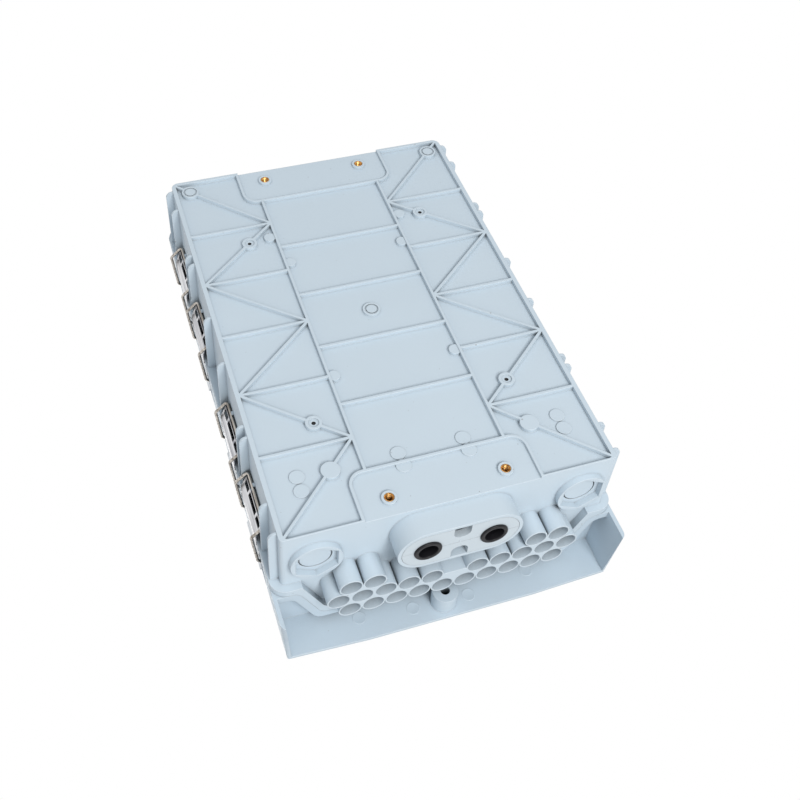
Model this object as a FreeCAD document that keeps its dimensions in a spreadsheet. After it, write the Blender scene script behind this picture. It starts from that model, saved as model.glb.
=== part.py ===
import FreeCAD
import Part
import Sketcher
import math
import os
import re

# Wall-mounted fibre distribution box: a ribbed base with drop-cable tubes, a hinged lid with a rain hood,
# four bail latches and the splice tray and adapter panel inside. Millimetres throughout.
# X runs to the latch side, Y out of the back towards the wall, Z up.
# The origin is the centre of the mounting inserts.
os.makedirs("parts", exist_ok=True)
doc = FreeCAD.newDocument("fibre_box")

# Driving sizes. Depths count from the back plane towards the lid, lengths from the middle of the back.
sizes = {
    "base_width": 247,
    "base_top": 187,
    "base_end": 186,
    "base_corner": 6,
    "end_corner": 3.2,
    "wall": 3,
    "back_skin": 3.5,
    "ledge_depth": 58,
    "flange_height": 6,
    "flange_reach": 7.6,
    "flange_corner": 12,
    "end_reach": 6,
    "rib_height": 3.5,
    "rib_width": 2.1,
    "rim_width": 3.5,
    "rail_x": 52,
    "bay_pitch": 58.4,
    "cell_pitch": 57.5,
    "pad_half": 66.5,
    "pad_depth": 38.8,
    "pad_corner": 12,
    "pad_step": 2.2,
    "insert_x": 43,
    "insert_z": 172.5,
    "insert_boss": 5.6,
    "insert_outer": 3.8,
    "insert_bore": 2.5,
    "insert_length": 10,
    "corner_boss_in": 14.8,
    "corner_boss_down": 13.5,
    "corner_boss": 7.2,
    "corner_groove": 5.8,
    "corner_disc": 4.4,
    "groove_depth": 1,
    "screw_boss_x": 75,
    "screw_boss": 6.2,
    "screw_recess": 4,
    "screw_hole": 1.6,
    "blank_boss": 7,
    "gate_ring": 7,
    "gate_groove": 5.4,
    "gate_disc": 4.2,
    "gate_step": 2,
    "rail_disc": 4.8,
    "rail_disc_out": 5,
    "rail_disc_in": 3.6,
    "rail_disc_high_z": 100.3,
    "rail_disc_mid_z": 67.2,
    "rail_disc_low_z": 58.3,
    "rail_disc_drop": 0.7,
    "ejector_disc": 5.6,
    "ejector_step": 0.9,
    "ejector_edge_x": 98.5,
    "ejector_mid_x": 24.5,
    "ejector_z": 143.5,
    "ejector_gap": 6,
    "fin_reach": 6.2,
    "fin_width": 2,
    "fin_drop": 1,
    "fin_round": 5.5,
    "fin_corner_z": 178,
    "fin_latch_gap": 6,
    "fin_mid_gap": 5.5,
    "tube_pitch": 17.4,
    "tube_bore": 7.6,
    "tube_split": 0.1,
    "tube_first_row": 51.2,
    "tube_reach": 19,
    "dip_shoulder": 18.5,
    "dip_slope": 17.5,
    "dip_room": 10.5,
    "dip_round": 9,
    "gland_x": 99,
    "gland_depth": 30,
    "gland_boss": 18.7,
    "gland_flats": 30.3,
    "gland_reach": 5,
    "knockout": 12.2,
    "knockout_groove": 1,
    "oval_depth": 26,
    "oval_length": 92.5,
    "oval_height": 41.5,
    "oval_wall": 2.75,
    "oval_ledge": 3,
    "plate_thick": 6,
    "plate_gap": 0.25,
    "notch_half": 6.3,
    "notch_depth": 12,
    "grommet_x": 24.4,
    "grommet_body": 9,
    "grommet_lip": 10.4,
    "grommet_lip_thick": 1.6,
    "grommet_bore": 7.2,
    "grommet_play": 0.1,
    "lid_gap": 0.3,
    "lid_height": 53.7,
    "lid_wall": 3,
    "lid_taper": 4.5,
    "lid_rim_height": 6,
    "lid_rim_width": 10.5,
    "hood_reach": 27.5,
    "hood_bow": 3.2,
    "hood_wall_back": 14,
    "post_x": 3.2,
    "post_z": 15.5,
    "post": 9.8,
    "post_hole": 3.6,
    "post_height": 16,
    "seal_width": 4,
    "seal_height": 2.2,
    "seal_inset": 3.6,
    "seal_play": 0.3,
    "hinge_out": 5.5,
    "hinge_barrel": 4.4,
    "hinge_pin": 2,
    "hinge_length": 36,
    "hinge_lid_length": 16,
    "hinge_side_gap": 0.5,
    "pin_play": 0.06,
    "latch_outer_z": 123.5,
    "latch_inner_z": 55.5,
    "bail_half": 24.5,
    "wire": 1.2,
    "bail_seat_gap": 0.2,
    "bail_wall_gap": 0.5,
    "catch_height": 17.6,
    "catch_reach": 3,
    "catch_half_gap": 10.3,
    "catch_width": 2,
    "catch_tab": 1.7,
    "catch_slot": 2.6,
    "keeper_half": 20.5,
    "keeper_sheet": 0.8,
    "keeper_step": 0.4,
    "keeper_bend": 5,
    "keeper_lap": 5.5,
    "bail_shoulder_out": 10,
    "bail_shoulder_drop": 9.5,
    "bail_knee_out": 6.6,
    "bail_knee_drop": 42.5,
    "bail_foot_out": 1.8,
    "bail_foot_drop": 47.5,
    "lever_half": 21.5,
    "lever_pin": 1.5,
    "lever_barrel": 3,
    "lever_thick": 2.6,
    "lever_length": 20,
    "lever_lean": 2,
    "lever_tip": 1.5,
    "lever_offset": 0.4,
    "lever_throw": 7.5,
    "bay_half": 28,
    "bay_cheek": 3,
    "bay_room": 3.6,
    "tray_length": 170,
    "tray_height": 110,
    "tray_depth": 10,
    "tray_wall": 1.6,
    "tray_z": 88,
    "tray_corner": 14,
    "tray_screw_in": 12,
    "tray_post": 5,
    "tray_stand": 8,
    "cover_thick": 1.4,
    "small_screw": 1.5,
    "small_head": 3,
    "head_height": 2,
    "panel_z": 95,
    "panel_half": 108,
    "panel_thick": 2,
    "panel_height": 62,
    "panel_foot": 18,
    "panel_screw_x": 90,
    "adapter_pitch": 16.4,
    "adapter_width": 9.4,
    "adapter_height": 13,
    "adapter_length": 34,
    "adapter_flange": 22,
    "adapter_flange_thick": 1.6,
    "adapter_row": 21,
    "adapter_row_pitch": 26,
    "adapter_fit": 0.15,
    "clamp_z": 150,
    "clamp_bore": 6,
    "clamp_wall": 3,
    "clamp_foot": 9,
    "clamp_length": 14,
}
sheet = doc.addObject("Spreadsheet::Sheet", "Sizes")
for row, (alias, number) in enumerate(sizes.items(), 1):
    sheet.set("A%d" % row, alias)
    sheet.set("B%d" % row, str(number))
    sheet.setAlias("B%d" % row, alias)
doc.recompute()

# Derived places, written as formulas of the driving sizes and used by name below.
places = {
    "half": "base_width / 2",
    "flange_half": "(half + flange_reach)",
    "parting": "(ledge_depth + flange_height)",
    "rim_x": "(half - rim_width)",
    "rim_top": "(base_top - rim_width + 1)",
    "rim_end": "(base_end - 1.2)",
    "pad_line": "(rim_top - pad_depth)",
    "inner_back": "(rib_height + back_skin)",
    "screw_boss_z": "(2 * bay_pitch - (screw_boss_x - rail_x) * bay_pitch / (rim_x - rail_x))",
    "low_boss_z": "(2 * bay_pitch + (screw_boss_x - rail_x) * (rim_end - 2 * bay_pitch) / (rim_x - rail_x))",
    "row_pitch": "(tube_pitch * 0.8660254)",
    "last_row": "(tube_first_row + 2 * row_pitch)",
    "tube_outer": "(tube_pitch - tube_split) / 2",
    "tube_end": "(base_end + tube_reach)",
    "dip": "(last_row + tube_outer + dip_room)",
    "dip_top_x": "(flange_half - dip_shoulder)",
    "dip_low_x": "(dip_top_x - dip_slope)",
    "flange_end": "(base_end + end_reach)",
    "flange_top": "(base_top + flange_reach)",
    "gland_face": "(base_end + gland_reach)",
    "plate_back": "(tube_end - plate_thick)",
    "oval_half": "(oval_length / 2)",
    "oval_r": "(oval_height / 2)",
    "lid_top": "(parting + lid_gap)",
    "lid_front": "(lid_top + lid_height)",
    "lid_floor": "(lid_front - lid_wall)",
    "hood_end": "(flange_end + hood_reach)",
    "hood_back": "(flange_end - hood_wall_back)",
    "port_wall": "(hood_back - lid_wall)",
    "fin_outer_z": "(latch_outer_z + bail_half + fin_latch_gap)",
    "fin_pair_z": "(latch_outer_z - bail_half - fin_latch_gap / 2)",
    "fin_pair_low_z": "(latch_inner_z + bail_half + fin_mid_gap)",
    "fin_mid_z": "(latch_inner_z - bail_half - fin_latch_gap - 1)",
    "wire_x": "(half + bail_wall_gap + wire)",
    "catch_top": "(ledge_depth - catch_height)",
    "wire_depth": "(catch_top - bail_seat_gap - wire)",
    "foot_x": "(wire_x + bail_foot_out)",
    "foot_depth": "(wire_depth + bail_foot_drop)",
    "pivot_x": "(foot_x + lever_offset)",
    "pivot_depth": "(foot_depth - lever_throw)",
    "bay_floor": "(pivot_x - bay_room)",
    "tray_seat": "(inner_back + tray_stand)",
    "hinge_x": "(flange_half + hinge_out)",
    "seal_x": "(flange_half - seal_inset)",
    "seal_end": "(flange_end - seal_inset / 2)",
    "seal_top": "(flange_top - seal_inset)",
    "seal_face": "(parting + seal_play)",
}


def formula(text):
    """Write out every named place and point every size at its cell."""
    text = str(text)
    while re.search(r"\b(%s)\b" % "|".join(places), text):
        text = re.sub(r"\b(%s)\b" % "|".join(places), lambda found: places[found.group(1)], text)
    return re.sub(r"\b(%s)\b" % "|".join(sizes), r"Sizes.\1", text)


def number(text):
    """Read the present value of a formula."""
    return float(sheet.evalExpression(formula(text)))


def bind(item, **targets):
    """Tie an object's properties to formulas."""
    for path, text in targets.items():
        item.setExpression(path.replace("__", "."), formula(text))


def place(item, x="0", y="0", z="0"):
    """Tie an object's position to formulas."""
    bind(item, Placement__Base__x=x, Placement__Base__y=y, Placement__Base__z=z)
    return item


def outline(sketch, loops, rings):
    """Draw closed outlines through (x, y) or (x, y, corner radius) formulas, and circles, held by the formulas."""
    rules = []
    texts = []

    def rule(text, *terms):
        rules.append(Sketcher.Constraint(*terms))
        texts.append(text)

    def hold(geometry, end, point):
        rule(point[0], "DistanceX", -1, 1, geometry, end, number(point[0]))
        rule(point[1], "DistanceY", -1, 1, geometry, end, number(point[1]))

    for points in loops:
        corners = [FreeCAD.Vector(number(p[0]), number(p[1]), 0) for p in points]
        radii = [number(p[2]) if len(p) > 2 else 0.0 for p in points]
        count = len(points)
        arcs = []
        for i, corner in enumerate(corners):
            before = (corners[i - 1] - corner).normalize()
            after = (corners[(i + 1) % count] - corner).normalize()
            half_angle = before.getAngle(after) / 2
            back = radii[i] / math.tan(half_angle)
            inward = (before + after).normalize()
            middle = corner + inward * (radii[i] / math.sin(half_angle) - radii[i])
            arcs.append((corner + before * back, middle, corner + after * back))
        lines = []
        for i in range(count):
            lines.append(sketch.addGeometry(Part.LineSegment(arcs[i][2], arcs[(i + 1) % count][0])))
        for i, point in enumerate(points):
            arriving = lines[i - 1]
            leaving = lines[i]
            if not radii[i]:
                rule(None, "Coincident", arriving, 2, leaving, 1)
                hold(leaving, 1, point)
                continue
            # Arcs are drawn anticlockwise, so the first point can belong to either line.
            first, middle, last = arcs[i]
            turns_left = (middle - first).cross(last - middle).z > 0
            ends = (first, last) if turns_left else (last, first)
            arc = sketch.addGeometry(Part.Arc(ends[0], middle, ends[1]))
            meets = 1 if turns_left else 2
            corner = sketch.addGeometry(Part.Point(corners[i]), True)
            rule(None, "Tangent", arriving, 2, arc, meets)
            rule(None, "Tangent", arc, 3 - meets, leaving, 1)
            rule(point[2], "Radius", arc, radii[i])
            rule(None, "PointOnObject", corner, 1, arriving)
            rule(None, "PointOnObject", corner, 1, leaving)
            hold(corner, 1, point)
    for x, y, radius in rings:
        centre = FreeCAD.Vector(number(x), number(y), 0)
        circle = sketch.addGeometry(Part.Circle(centre, FreeCAD.Vector(0, 0, 1), number(radius)))
        rule(radius, "Radius", circle, number(radius))
        hold(circle, 3, (x, y))
    for held, text in zip(sketch.addConstraint(rules), texts):
        if text is not None:
            sketch.setExpression("Constraints[%d]" % held, formula(text))


def path(sketch, stops):
    """Draw an open line through (x, y) formulas."""
    points = [FreeCAD.Vector(number(x), number(y), 0) for x, y in stops]
    legs = [sketch.addGeometry(Part.LineSegment(a, b)) for a, b in zip(points, points[1:])]
    rules = [Sketcher.Constraint("Coincident", a, 2, b, 1) for a, b in zip(legs, legs[1:])]
    texts = [None] * len(rules)
    for index, stop in enumerate(stops):
        leg, end = (legs[index], 1) if index < len(legs) else (legs[-1], 2)
        for kind, text in zip(("DistanceX", "DistanceY"), stop):
            rules.append(Sketcher.Constraint(kind, -1, 1, leg, end, number(text)))
            texts.append(text)
    for held, text in zip(sketch.addConstraint(rules), texts):
        if text is not None:
            sketch.setExpression("Constraints[%d]" % held, formula(text))
    return points


def drawing(name, plane, at):
    """Start a sketch seen from the back (x, z, towards the lid) or along the box (x, y, upwards)."""
    sketch = doc.addObject("Sketcher::SketchObject", name)
    if plane == "back":
        sketch.Placement = FreeCAD.Placement(FreeCAD.Vector(), FreeCAD.Rotation(FreeCAD.Vector(1, 0, 0), 90))
        bind(sketch, Placement__Base__y="-(%s)" % at)
    else:
        bind(sketch, Placement__Base__z=at)
    return sketch


def extrude(name, plane, at, length, loops=(), rings=(), taper=None):
    """Make a solid from closed outlines and circles."""
    sketch = drawing(name + "_outline", plane, at)
    outline(sketch, loops, rings)
    solid = doc.addObject("Part::Extrusion", name)
    solid.Base = sketch
    solid.DirMode = "Normal"
    solid.Solid = True
    bind(solid, LengthFwd=length)
    if taper:
        bind(solid, TaperAngle=taper)
    return solid


def oblong(x_low, x_high, y_low, y_high, radius=None):
    """Corners of a rectangle, rounded where a radius is given."""
    corners = [(x_low, y_low), (x_high, y_low), (x_high, y_high), (x_low, y_high)]
    return [corner + (radius,) for corner in corners] if radius else corners


def rod(name, axis, radius, length, x, y, z):
    """Make a cylinder along +Z, or from the back towards the lid."""
    item = doc.addObject("Part::Cylinder", name)
    if axis == "back":
        item.Placement = FreeCAD.Placement(FreeCAD.Vector(), FreeCAD.Rotation(FreeCAD.Vector(1, 0, 0), 90))
    bind(item, Radius=radius, Height=length)
    return place(item, x, y, z)


def block(name, x_size, y_size, z_size, x, y, z):
    """Make a box from its sizes and lowest corner."""
    item = doc.addObject("Part::Box", name)
    bind(item, Length=x_size, Width=y_size, Height=z_size)
    return place(item, x, y, z)


def fuse(name, items):
    item = doc.addObject("Part::MultiFuse", name)
    item.Shapes = items
    item.Refine = True
    return item


def cut(name, whole, removed):
    item = doc.addObject("Part::Cut", name)
    item.Base = whole
    item.Tool = removed
    item.Refine = True
    return item


def group(name, items):
    item = doc.addObject("Part::Compound", name)
    item.Links = items
    return item


def mirrored(name, item):
    """Copy a solid to the other side of the middle plane."""
    twin = doc.addObject("Part::Mirroring", name)
    twin.Source = item
    twin.Normal = FreeCAD.Vector(1, 0, 0)
    return twin


nodes = {}

# Base shell: a deep tray with a sealing flange, open towards the lid.
# At the cable end the flange dips in an S-curve so that the wall can carry the drop tubes.
shell = extrude(
    "shell", "back", "0", "parting",
    [[("-half", "-base_end", "end_corner"), ("half", "-base_end", "end_corner"),
      ("half", "base_top", "base_corner"), ("-half", "base_top", "base_corner")]],
)
flange_plate = extrude(
    "flange_plate", "back", "ledge_depth", "flange_height",
    [oblong("-flange_half", "flange_half", "-flange_end", "flange_top", "flange_corner")],
)
dip_line = [
    ("flange_half - flange_corner", "-parting"),
    ("dip_top_x", "-parting", "dip_round"),
    ("dip_low_x", "-dip", "dip_round"),
    ("-dip_low_x", "-dip", "dip_round"),
    ("-dip_top_x", "-parting", "dip_round"),
    ("-flange_half + flange_corner", "-parting"),
]
dip_back = [
    ("-flange_half + flange_corner", "-parting + flange_height"),
    ("-dip_top_x + flange_height / 2", "-parting + flange_height", "dip_round"),
    ("-dip_low_x + flange_height / 2", "-dip + flange_height", "dip_round"),
    ("dip_low_x - flange_height / 2", "-dip + flange_height", "dip_round"),
    ("dip_top_x - flange_height / 2", "-parting + flange_height", "dip_round"),
    ("flange_half - flange_corner", "-parting + flange_height"),
]
dip_flange = extrude("dip_flange", "end", "-flange_end", "end_reach", [dip_line + dip_back])
dip_window = extrude(
    "dip_window", "end", "-flange_end - 1", "end_reach + 1",
    [dip_back[1:5] + [("dip_top_x - flange_height / 2 - 0.1", "-ledge_depth + 1"),
                      ("-dip_top_x + flange_height / 2 + 0.1", "-ledge_depth + 1")]],
)
flange = cut("flange", flange_plate, dip_window)
end_wall = extrude(
    "end_wall", "end", "-base_end", "wall",
    [[("half - 1", "-ledge_depth - 1"), ("half - 1", "-parting")] + dip_line[1:5]
     + [("-half + 1", "-parting"), ("-half + 1", "-ledge_depth - 1")]],
)
cavity = extrude(
    "cavity", "back", "inner_back", "parting - inner_back + 1",
    [oblong("-half + wall", "half - wall", "-base_end + wall", "base_top - wall", "end_corner")],
)
shell_block = fuse("shell_block", [shell, flange])
shell_hollow = cut("shell_hollow", shell_block, cavity)

# Stiffening ribs on the back: two long rails, staggered cross ribs and a zigzag of diagonals each side.
# They stand in a shallow recess, and a U-shaped rib frames each of the two raised mounting pads.
recess = extrude(
    "back_recess", "back", "-1", "rib_height + 1",
    [oblong("-rim_x", "rim_x", "-rim_end", "rim_top", "end_corner - 0.4")],
)
recessed = cut("recessed_shell", shell_hollow, recess)
rib_loops = []
for side in ("", "-"):
    rib_loops.append(oblong(
        "%s(rail_x) - rib_width / 2" % side, "%s(rail_x) + rib_width / 2" % side,
        "-pad_line - 1", "pad_line + 1",
    ))
rails = extrude("rails", "back", "0", "rib_height + 1", rib_loops)
cross_loops = []
for cell in ("-1.5", "-0.5", "0.5", "1.5"):
    cross_loops.append(oblong(
        "-rail_x", "rail_x", cell + " * cell_pitch - rib_width / 2", cell + " * cell_pitch + rib_width / 2"
    ))
for bay in ("-2", "-1", "0", "1", "2"):
    for side in ("", "-"):
        ends = ("rail_x + 0.4", "rim_x + 1") if not side else ("-rim_x - 1", "-rail_x - 0.4")
        cross_loops.append(oblong(
            *ends, bay + " * bay_pitch - rib_width / 2", bay + " * bay_pitch + rib_width / 2"
        ))
cross_ribs = extrude("cross_ribs", "back", "0", "rib_height + 1", cross_loops)
zigzag = ["rim_top", "2 * bay_pitch", "bay_pitch", "0", "-bay_pitch", "-2 * bay_pitch", "-rim_end + 0.8"]
diagonal_loops = {"falling": [], "rising": []}
for step, (upper, lower) in enumerate(zip(zigzag, zigzag[1:])):
    kind = "falling" if step % 2 == 0 else "rising"
    high_x, low_x = ("rim_x + 0.5", "rail_x") if kind == "falling" else ("rail_x", "rim_x + 0.5")
    for side in ("", "-"):
        corners = [
            ("%s(%s)" % (side, high_x), upper + " - rib_width / 1.5"),
            ("%s(%s)" % (side, high_x), upper + " + rib_width / 1.5"),
            ("%s(%s)" % (side, low_x), lower + " + rib_width / 1.5"),
            ("%s(%s)" % (side, low_x), lower + " - rib_width / 1.5"),
        ]
        diagonal_loops[kind].append(corners)
falling_ribs = extrude("falling_ribs", "back", "0", "rib_height + 1", diagonal_loops["falling"])
rising_ribs = extrude("rising_ribs", "back", "0", "rib_height + 1", diagonal_loops["rising"])
pad_frames = []
pad_floors = []
pad_ends = (("pad_frame_top", "rim_top + 1", "pad_line"), ("pad_frame_end", "-rim_end - 1", "-pad_line"))
for name, end, line in pad_ends:
    outward = "+" if name.endswith("top") else "-"
    pad_frames.append(extrude(
        name, "back", "0", "rib_height + 1",
        [[
            ("-pad_half", end),
            ("-pad_half", line, "pad_corner"),
            ("pad_half", line, "pad_corner"),
            ("pad_half", end),
            ("pad_half - rib_width", end),
            ("pad_half - rib_width", "%s %s rib_width" % (line, outward), "pad_corner - rib_width"),
            ("-pad_half + rib_width", "%s %s rib_width" % (line, outward), "pad_corner - rib_width"),
            ("-pad_half + rib_width", end),
        ]],
    ))
    pad_floors.append(extrude(
        name.replace("frame", "floor"), "back", "pad_step", "rib_height - pad_step + 1",
        [[
            ("-pad_half + 1", end),
            ("-pad_half + 1", "%s %s 1" % (line, outward), "pad_corner - 1"),
            ("pad_half - 1", "%s %s 1" % (line, outward), "pad_corner - 1"),
            ("pad_half - 1", end),
        ]],
    ))
pad_windows = extrude(
    "pad_windows", "back", "-1", "pad_step + 1",
    [oblong("-pad_half + rib_width", "pad_half - rib_width", "rim_top - 1", "base_top + 1"),
     oblong("-pad_half + rib_width", "pad_half - rib_width", "-base_end - 1", "-rim_end + 1")],
)

# Moulded bosses on the back: insert bosses on the pads, grooved corner bosses, screw bosses on the diagonals,
# flat ejector discs beside the rails and near the pad, and the round gate in the middle.
boss_rings = []
groove_rings = []
recess_rings = []
hole_rings = []
for side in ("", "-"):
    corner = ("%s(rim_x - corner_boss_in + 4)" % side, "rim_top - corner_boss_down + 2")
    boss_rings.append(corner + ("corner_boss",))
    groove_rings.append(corner + ("corner_groove",))
    groove_rings.append(corner + ("corner_disc",))
    for height in ("screw_boss_z", "-screw_boss_z"):
        boss_rings.append(("%sscrew_boss_x" % side, height, "screw_boss"))
        recess_rings.append(("%sscrew_boss_x" % side, height, "screw_recess"))
        hole_rings.append(("%sscrew_boss_x" % side, height, "screw_hole"))
    boss_rings.append(("%sscrew_boss_x" % side, "-low_boss_z", "blank_boss"))
bosses = extrude("back_bosses", "back", "0", "rib_height + 1", rings=boss_rings)
corner_grooves = extrude("corner_grooves", "back", "-1", "groove_depth + 1", rings=groove_rings)
boss_recesses = extrude("boss_recesses", "back", "-1", "groove_depth + 1", rings=recess_rings)
boss_holes = extrude("boss_holes", "back", "-1", "rib_height", rings=hole_rings)
gate = extrude(
    "gate", "back", "rib_height - gate_step", "gate_step + 1", rings=[("0", "0", "gate_ring")]
)
gate_channel = extrude(
    "gate_channel", "back", "0", "rib_height - gate_step + groove_depth",
    rings=[("0", "0", "gate_groove"), ("0", "0", "gate_disc")],
)
rail_rings = []
for side in ("", "-"):
    rail_rings.append(("%s(rail_x + rail_disc_out)" % side, "rail_disc_high_z", "rail_disc"))
    rail_rings.append(("%s(rail_x - rail_disc_in)" % side, "rail_disc_mid_z", "rail_disc"))
    rail_rings.append(("%s(rail_x - rail_disc_in)" % side, "-rail_disc_low_z", "rail_disc"))
rail_discs = extrude(
    "rail_discs", "back", "rail_disc_drop", "rib_height - rail_disc_drop + 1", rings=rail_rings
)
insert_places = [(sx + "insert_x", sz + "insert_z") for sx in ("", "-") for sz in ("", "-")]
insert_bosses = extrude(
    "insert_bosses", "back", "0", "insert_length + back_skin",
    rings=[(x, z, "insert_boss") for x, z in insert_places],
)
insert_seats = extrude(
    "insert_seats", "back", "-1", "insert_length + 1",
    rings=[(x, z, "insert_outer") for x, z in insert_places],
)
floor_rings = []
pad_rings = []
for side in ("", "-"):
    floor_rings.append((side + "ejector_edge_x", "-ejector_z + ejector_gap", "ejector_disc"))
    floor_rings.append((side + "ejector_edge_x", "-ejector_z - ejector_gap", "ejector_disc"))
    floor_rings.append((side + "ejector_mid_x", "-ejector_z + ejector_gap", "ejector_disc"))
    pad_rings.append((side + "ejector_mid_x", "-ejector_z - ejector_gap", "ejector_disc"))
floor_discs = extrude(
    "floor_discs", "back", "rib_height - ejector_step", "ejector_step + 1", rings=floor_rings
)
pad_discs = extrude(
    "pad_discs", "back", "pad_step - ejector_step", "rib_height - pad_step + 2", rings=pad_rings
)

# Guard fins along both side walls, from the back rim down to the flange ledge.
# Each has its outer corner at the back rounded off; pairs stand close together between two latches.
fin_loops = []
fin_stations = ["fin_corner_z", "fin_outer_z", "fin_pair_z", "fin_pair_low_z", "fin_mid_z"]
for station in fin_stations:
    for up in ("", "-"):
        fin_loops.append(oblong(
            "half - 1", "half + fin_reach",
            "%s(%s) - fin_width / 2" % (up, station), "%s(%s) + fin_width / 2" % (up, station),
        ))
fin_blocks = extrude("fin_blocks", "back", "fin_drop", "ledge_depth - fin_drop + 1", fin_loops)
fin_space = extrude(
    "fin_space", "end", "-base_end", "base_end + base_top",
    [[("half - 2", "-parting"), ("half + fin_reach", "-parting"),
      ("half + fin_reach", "-fin_drop", "fin_round"), ("half - 2", "-fin_drop")]],
)
fins = doc.addObject("Part::Common", "fins")
fins.Base = fin_blocks
fins.Tool = fin_space
fins_twin = mirrored("fins_twin", fins)

# Latch catches on the latch side: pairs of small columns that the wire bail lies on, each with a tab above it,
# and the shut-off slots through the flange behind them.
latch_stations = ["latch_outer_z", "latch_inner_z", "-latch_inner_z", "-latch_outer_z"]
column_loops = []
slot_loops = []
for station in latch_stations:
    for shift in ("+", "-"):
        column_loops.append(oblong(
            "half - 1", "half + catch_reach",
            "%s %s catch_half_gap - catch_width / 2" % (station, shift),
            "%s %s catch_half_gap + catch_width / 2" % (station, shift),
        ))
    gap = "(catch_half_gap - catch_width / 2 - 0.4)"
    outer_gap = "(catch_half_gap + catch_width / 2 + 0.4)"
    slot_loops.append(oblong(
        "half + 0.4", "half + 0.4 + catch_slot", "%s - %s" % (station, gap), "%s + %s" % (station, gap)
    ))
    slot_loops.append(oblong(
        "half + 0.4", "half + 0.4 + catch_slot",
        "%s + %s" % (station, outer_gap), "%s + bail_half - wire - 1" % station,
    ))
    slot_loops.append(oblong(
        "half + 0.4", "half + 0.4 + catch_slot",
        "%s - bail_half + wire + 1" % station, "%s - %s" % (station, outer_gap),
    ))
catch_columns = extrude("catch_columns", "back", "catch_top", "catch_height + 1", column_loops)
tab_loops = [
    [(x if x != "half + catch_reach" else "half + catch_tab", z) for x, z in points]
    for points in column_loops
]
catch_tabs = extrude("catch_tabs", "back", "wire_depth - wire - 3", "2.5", tab_loops)
catch_slots = extrude("catch_slots", "back", "ledge_depth - 1", "flange_height + 2", slot_loops)

# Drop-cable tubes: a honeycomb of short open tubes below the entry, joined by webs and flush at their mouths.
# Neighbouring tubes keep a hairline apart, and the webs fill the spaces between them.
half_steps = [0.5, 1.5, 2.5, 3.5, 4.5]
tube_rows = [
    ("tube_first_row", [3.5, 4.5]),
    ("tube_first_row + row_pitch", [1, 2, 3, 4, 5]),
    ("last_row", half_steps),
]
tube_places = []
for depth, steps in tube_rows:
    for step in [-value for value in reversed(steps)] + steps:
        tube_places.append(("%s * tube_pitch" % step, "-(%s)" % depth))
tubes = extrude(
    "tubes", "end", "-tube_end", "tube_reach + wall / 2", rings=[(x, y, "tube_outer") for x, y in tube_places]
)
tube_web = extrude(
    "tube_web", "end", "-tube_end", "tube_end - base_end + 1",
    [[("-5 * tube_pitch", "-tube_first_row - row_pitch"), ("5 * tube_pitch", "-tube_first_row - row_pitch"),
      ("4.5 * tube_pitch", "-last_row"), ("-4.5 * tube_pitch", "-last_row")]],
)
upper_webs = extrude(
    "upper_webs", "end", "-tube_end", "tube_end - base_end + 1",
    [[("%s3.5 * tube_pitch" % side, "-tube_first_row"), ("%s4.5 * tube_pitch" % side, "-tube_first_row"),
      ("%s5 * tube_pitch" % side, "-tube_first_row - row_pitch - 0.5"),
      ("%s3 * tube_pitch" % side, "-tube_first_row - row_pitch - 0.5")] for side in ("", "-")],
)
tube_bores = extrude(
    "tube_bores", "end", "-tube_end - 1", "tube_reach + wall + 2",
    rings=[(x, y, "tube_bore") for x, y in tube_places],
)

# Cable entry in the middle of the end: an oval collar with a stepped seat for the split plate.
# Beside it, two round gland bosses with a hexagonal nut pocket and a knock-out ring.


def oval(name, start, length, inset):
    """Make an oval bar from the entry's outline, moved in by an inset."""
    bar = extrude(
        name, "end", start, length,
        [oblong(
            "-oval_half + %s" % inset, "oval_half - %s" % inset,
            "-oval_depth - oval_r + %s" % inset, "-oval_depth + oval_r - %s" % inset,
            "oval_r - 0.01 - %s" % inset,
        )],
    )
    return bar


collar = oval("entry_collar", "-tube_end", "tube_end - base_end + 1", "0")
collar_seat = oval("entry_seat", "-tube_end - 1", "plate_thick + 1", "oval_wall")
collar_way = oval("entry_way", "-tube_end", "tube_end - base_end + wall + 1", "(oval_wall + oval_ledge)")
gland_bosses = extrude(
    "gland_bosses", "end", "-gland_face", "gland_reach + 1",
    rings=[("gland_x", "-gland_depth", "gland_boss"), ("-gland_x", "-gland_depth", "gland_boss")],
)
hexagons = []
for side in ("", "-"):
    corners = []
    for across, along in ((0, 1), (1, 0.5), (1, -0.5), (0, -1), (-1, -0.5), (-1, 0.5)):
        corners.append((
            "%sgland_x + %s * gland_flats / 2" % (side, across),
            "-gland_depth + %s * gland_flats / 1.7320508" % along,
        ))
    hexagons.append(corners)
gland_pockets = extrude("gland_pockets", "end", "-gland_face - 1", "gland_reach + 1", hexagons)
knockout_rings = []
for side in ("", "-"):
    knockout_rings.append(("%sgland_x" % side, "-gland_depth", "knockout"))
    knockout_rings.append(("%sgland_x" % side, "-gland_depth", "knockout - knockout_groove"))
gland_grooves = extrude("gland_grooves", "end", "-base_end - 1", "wall / 2 + 1", rings=knockout_rings)

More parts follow.
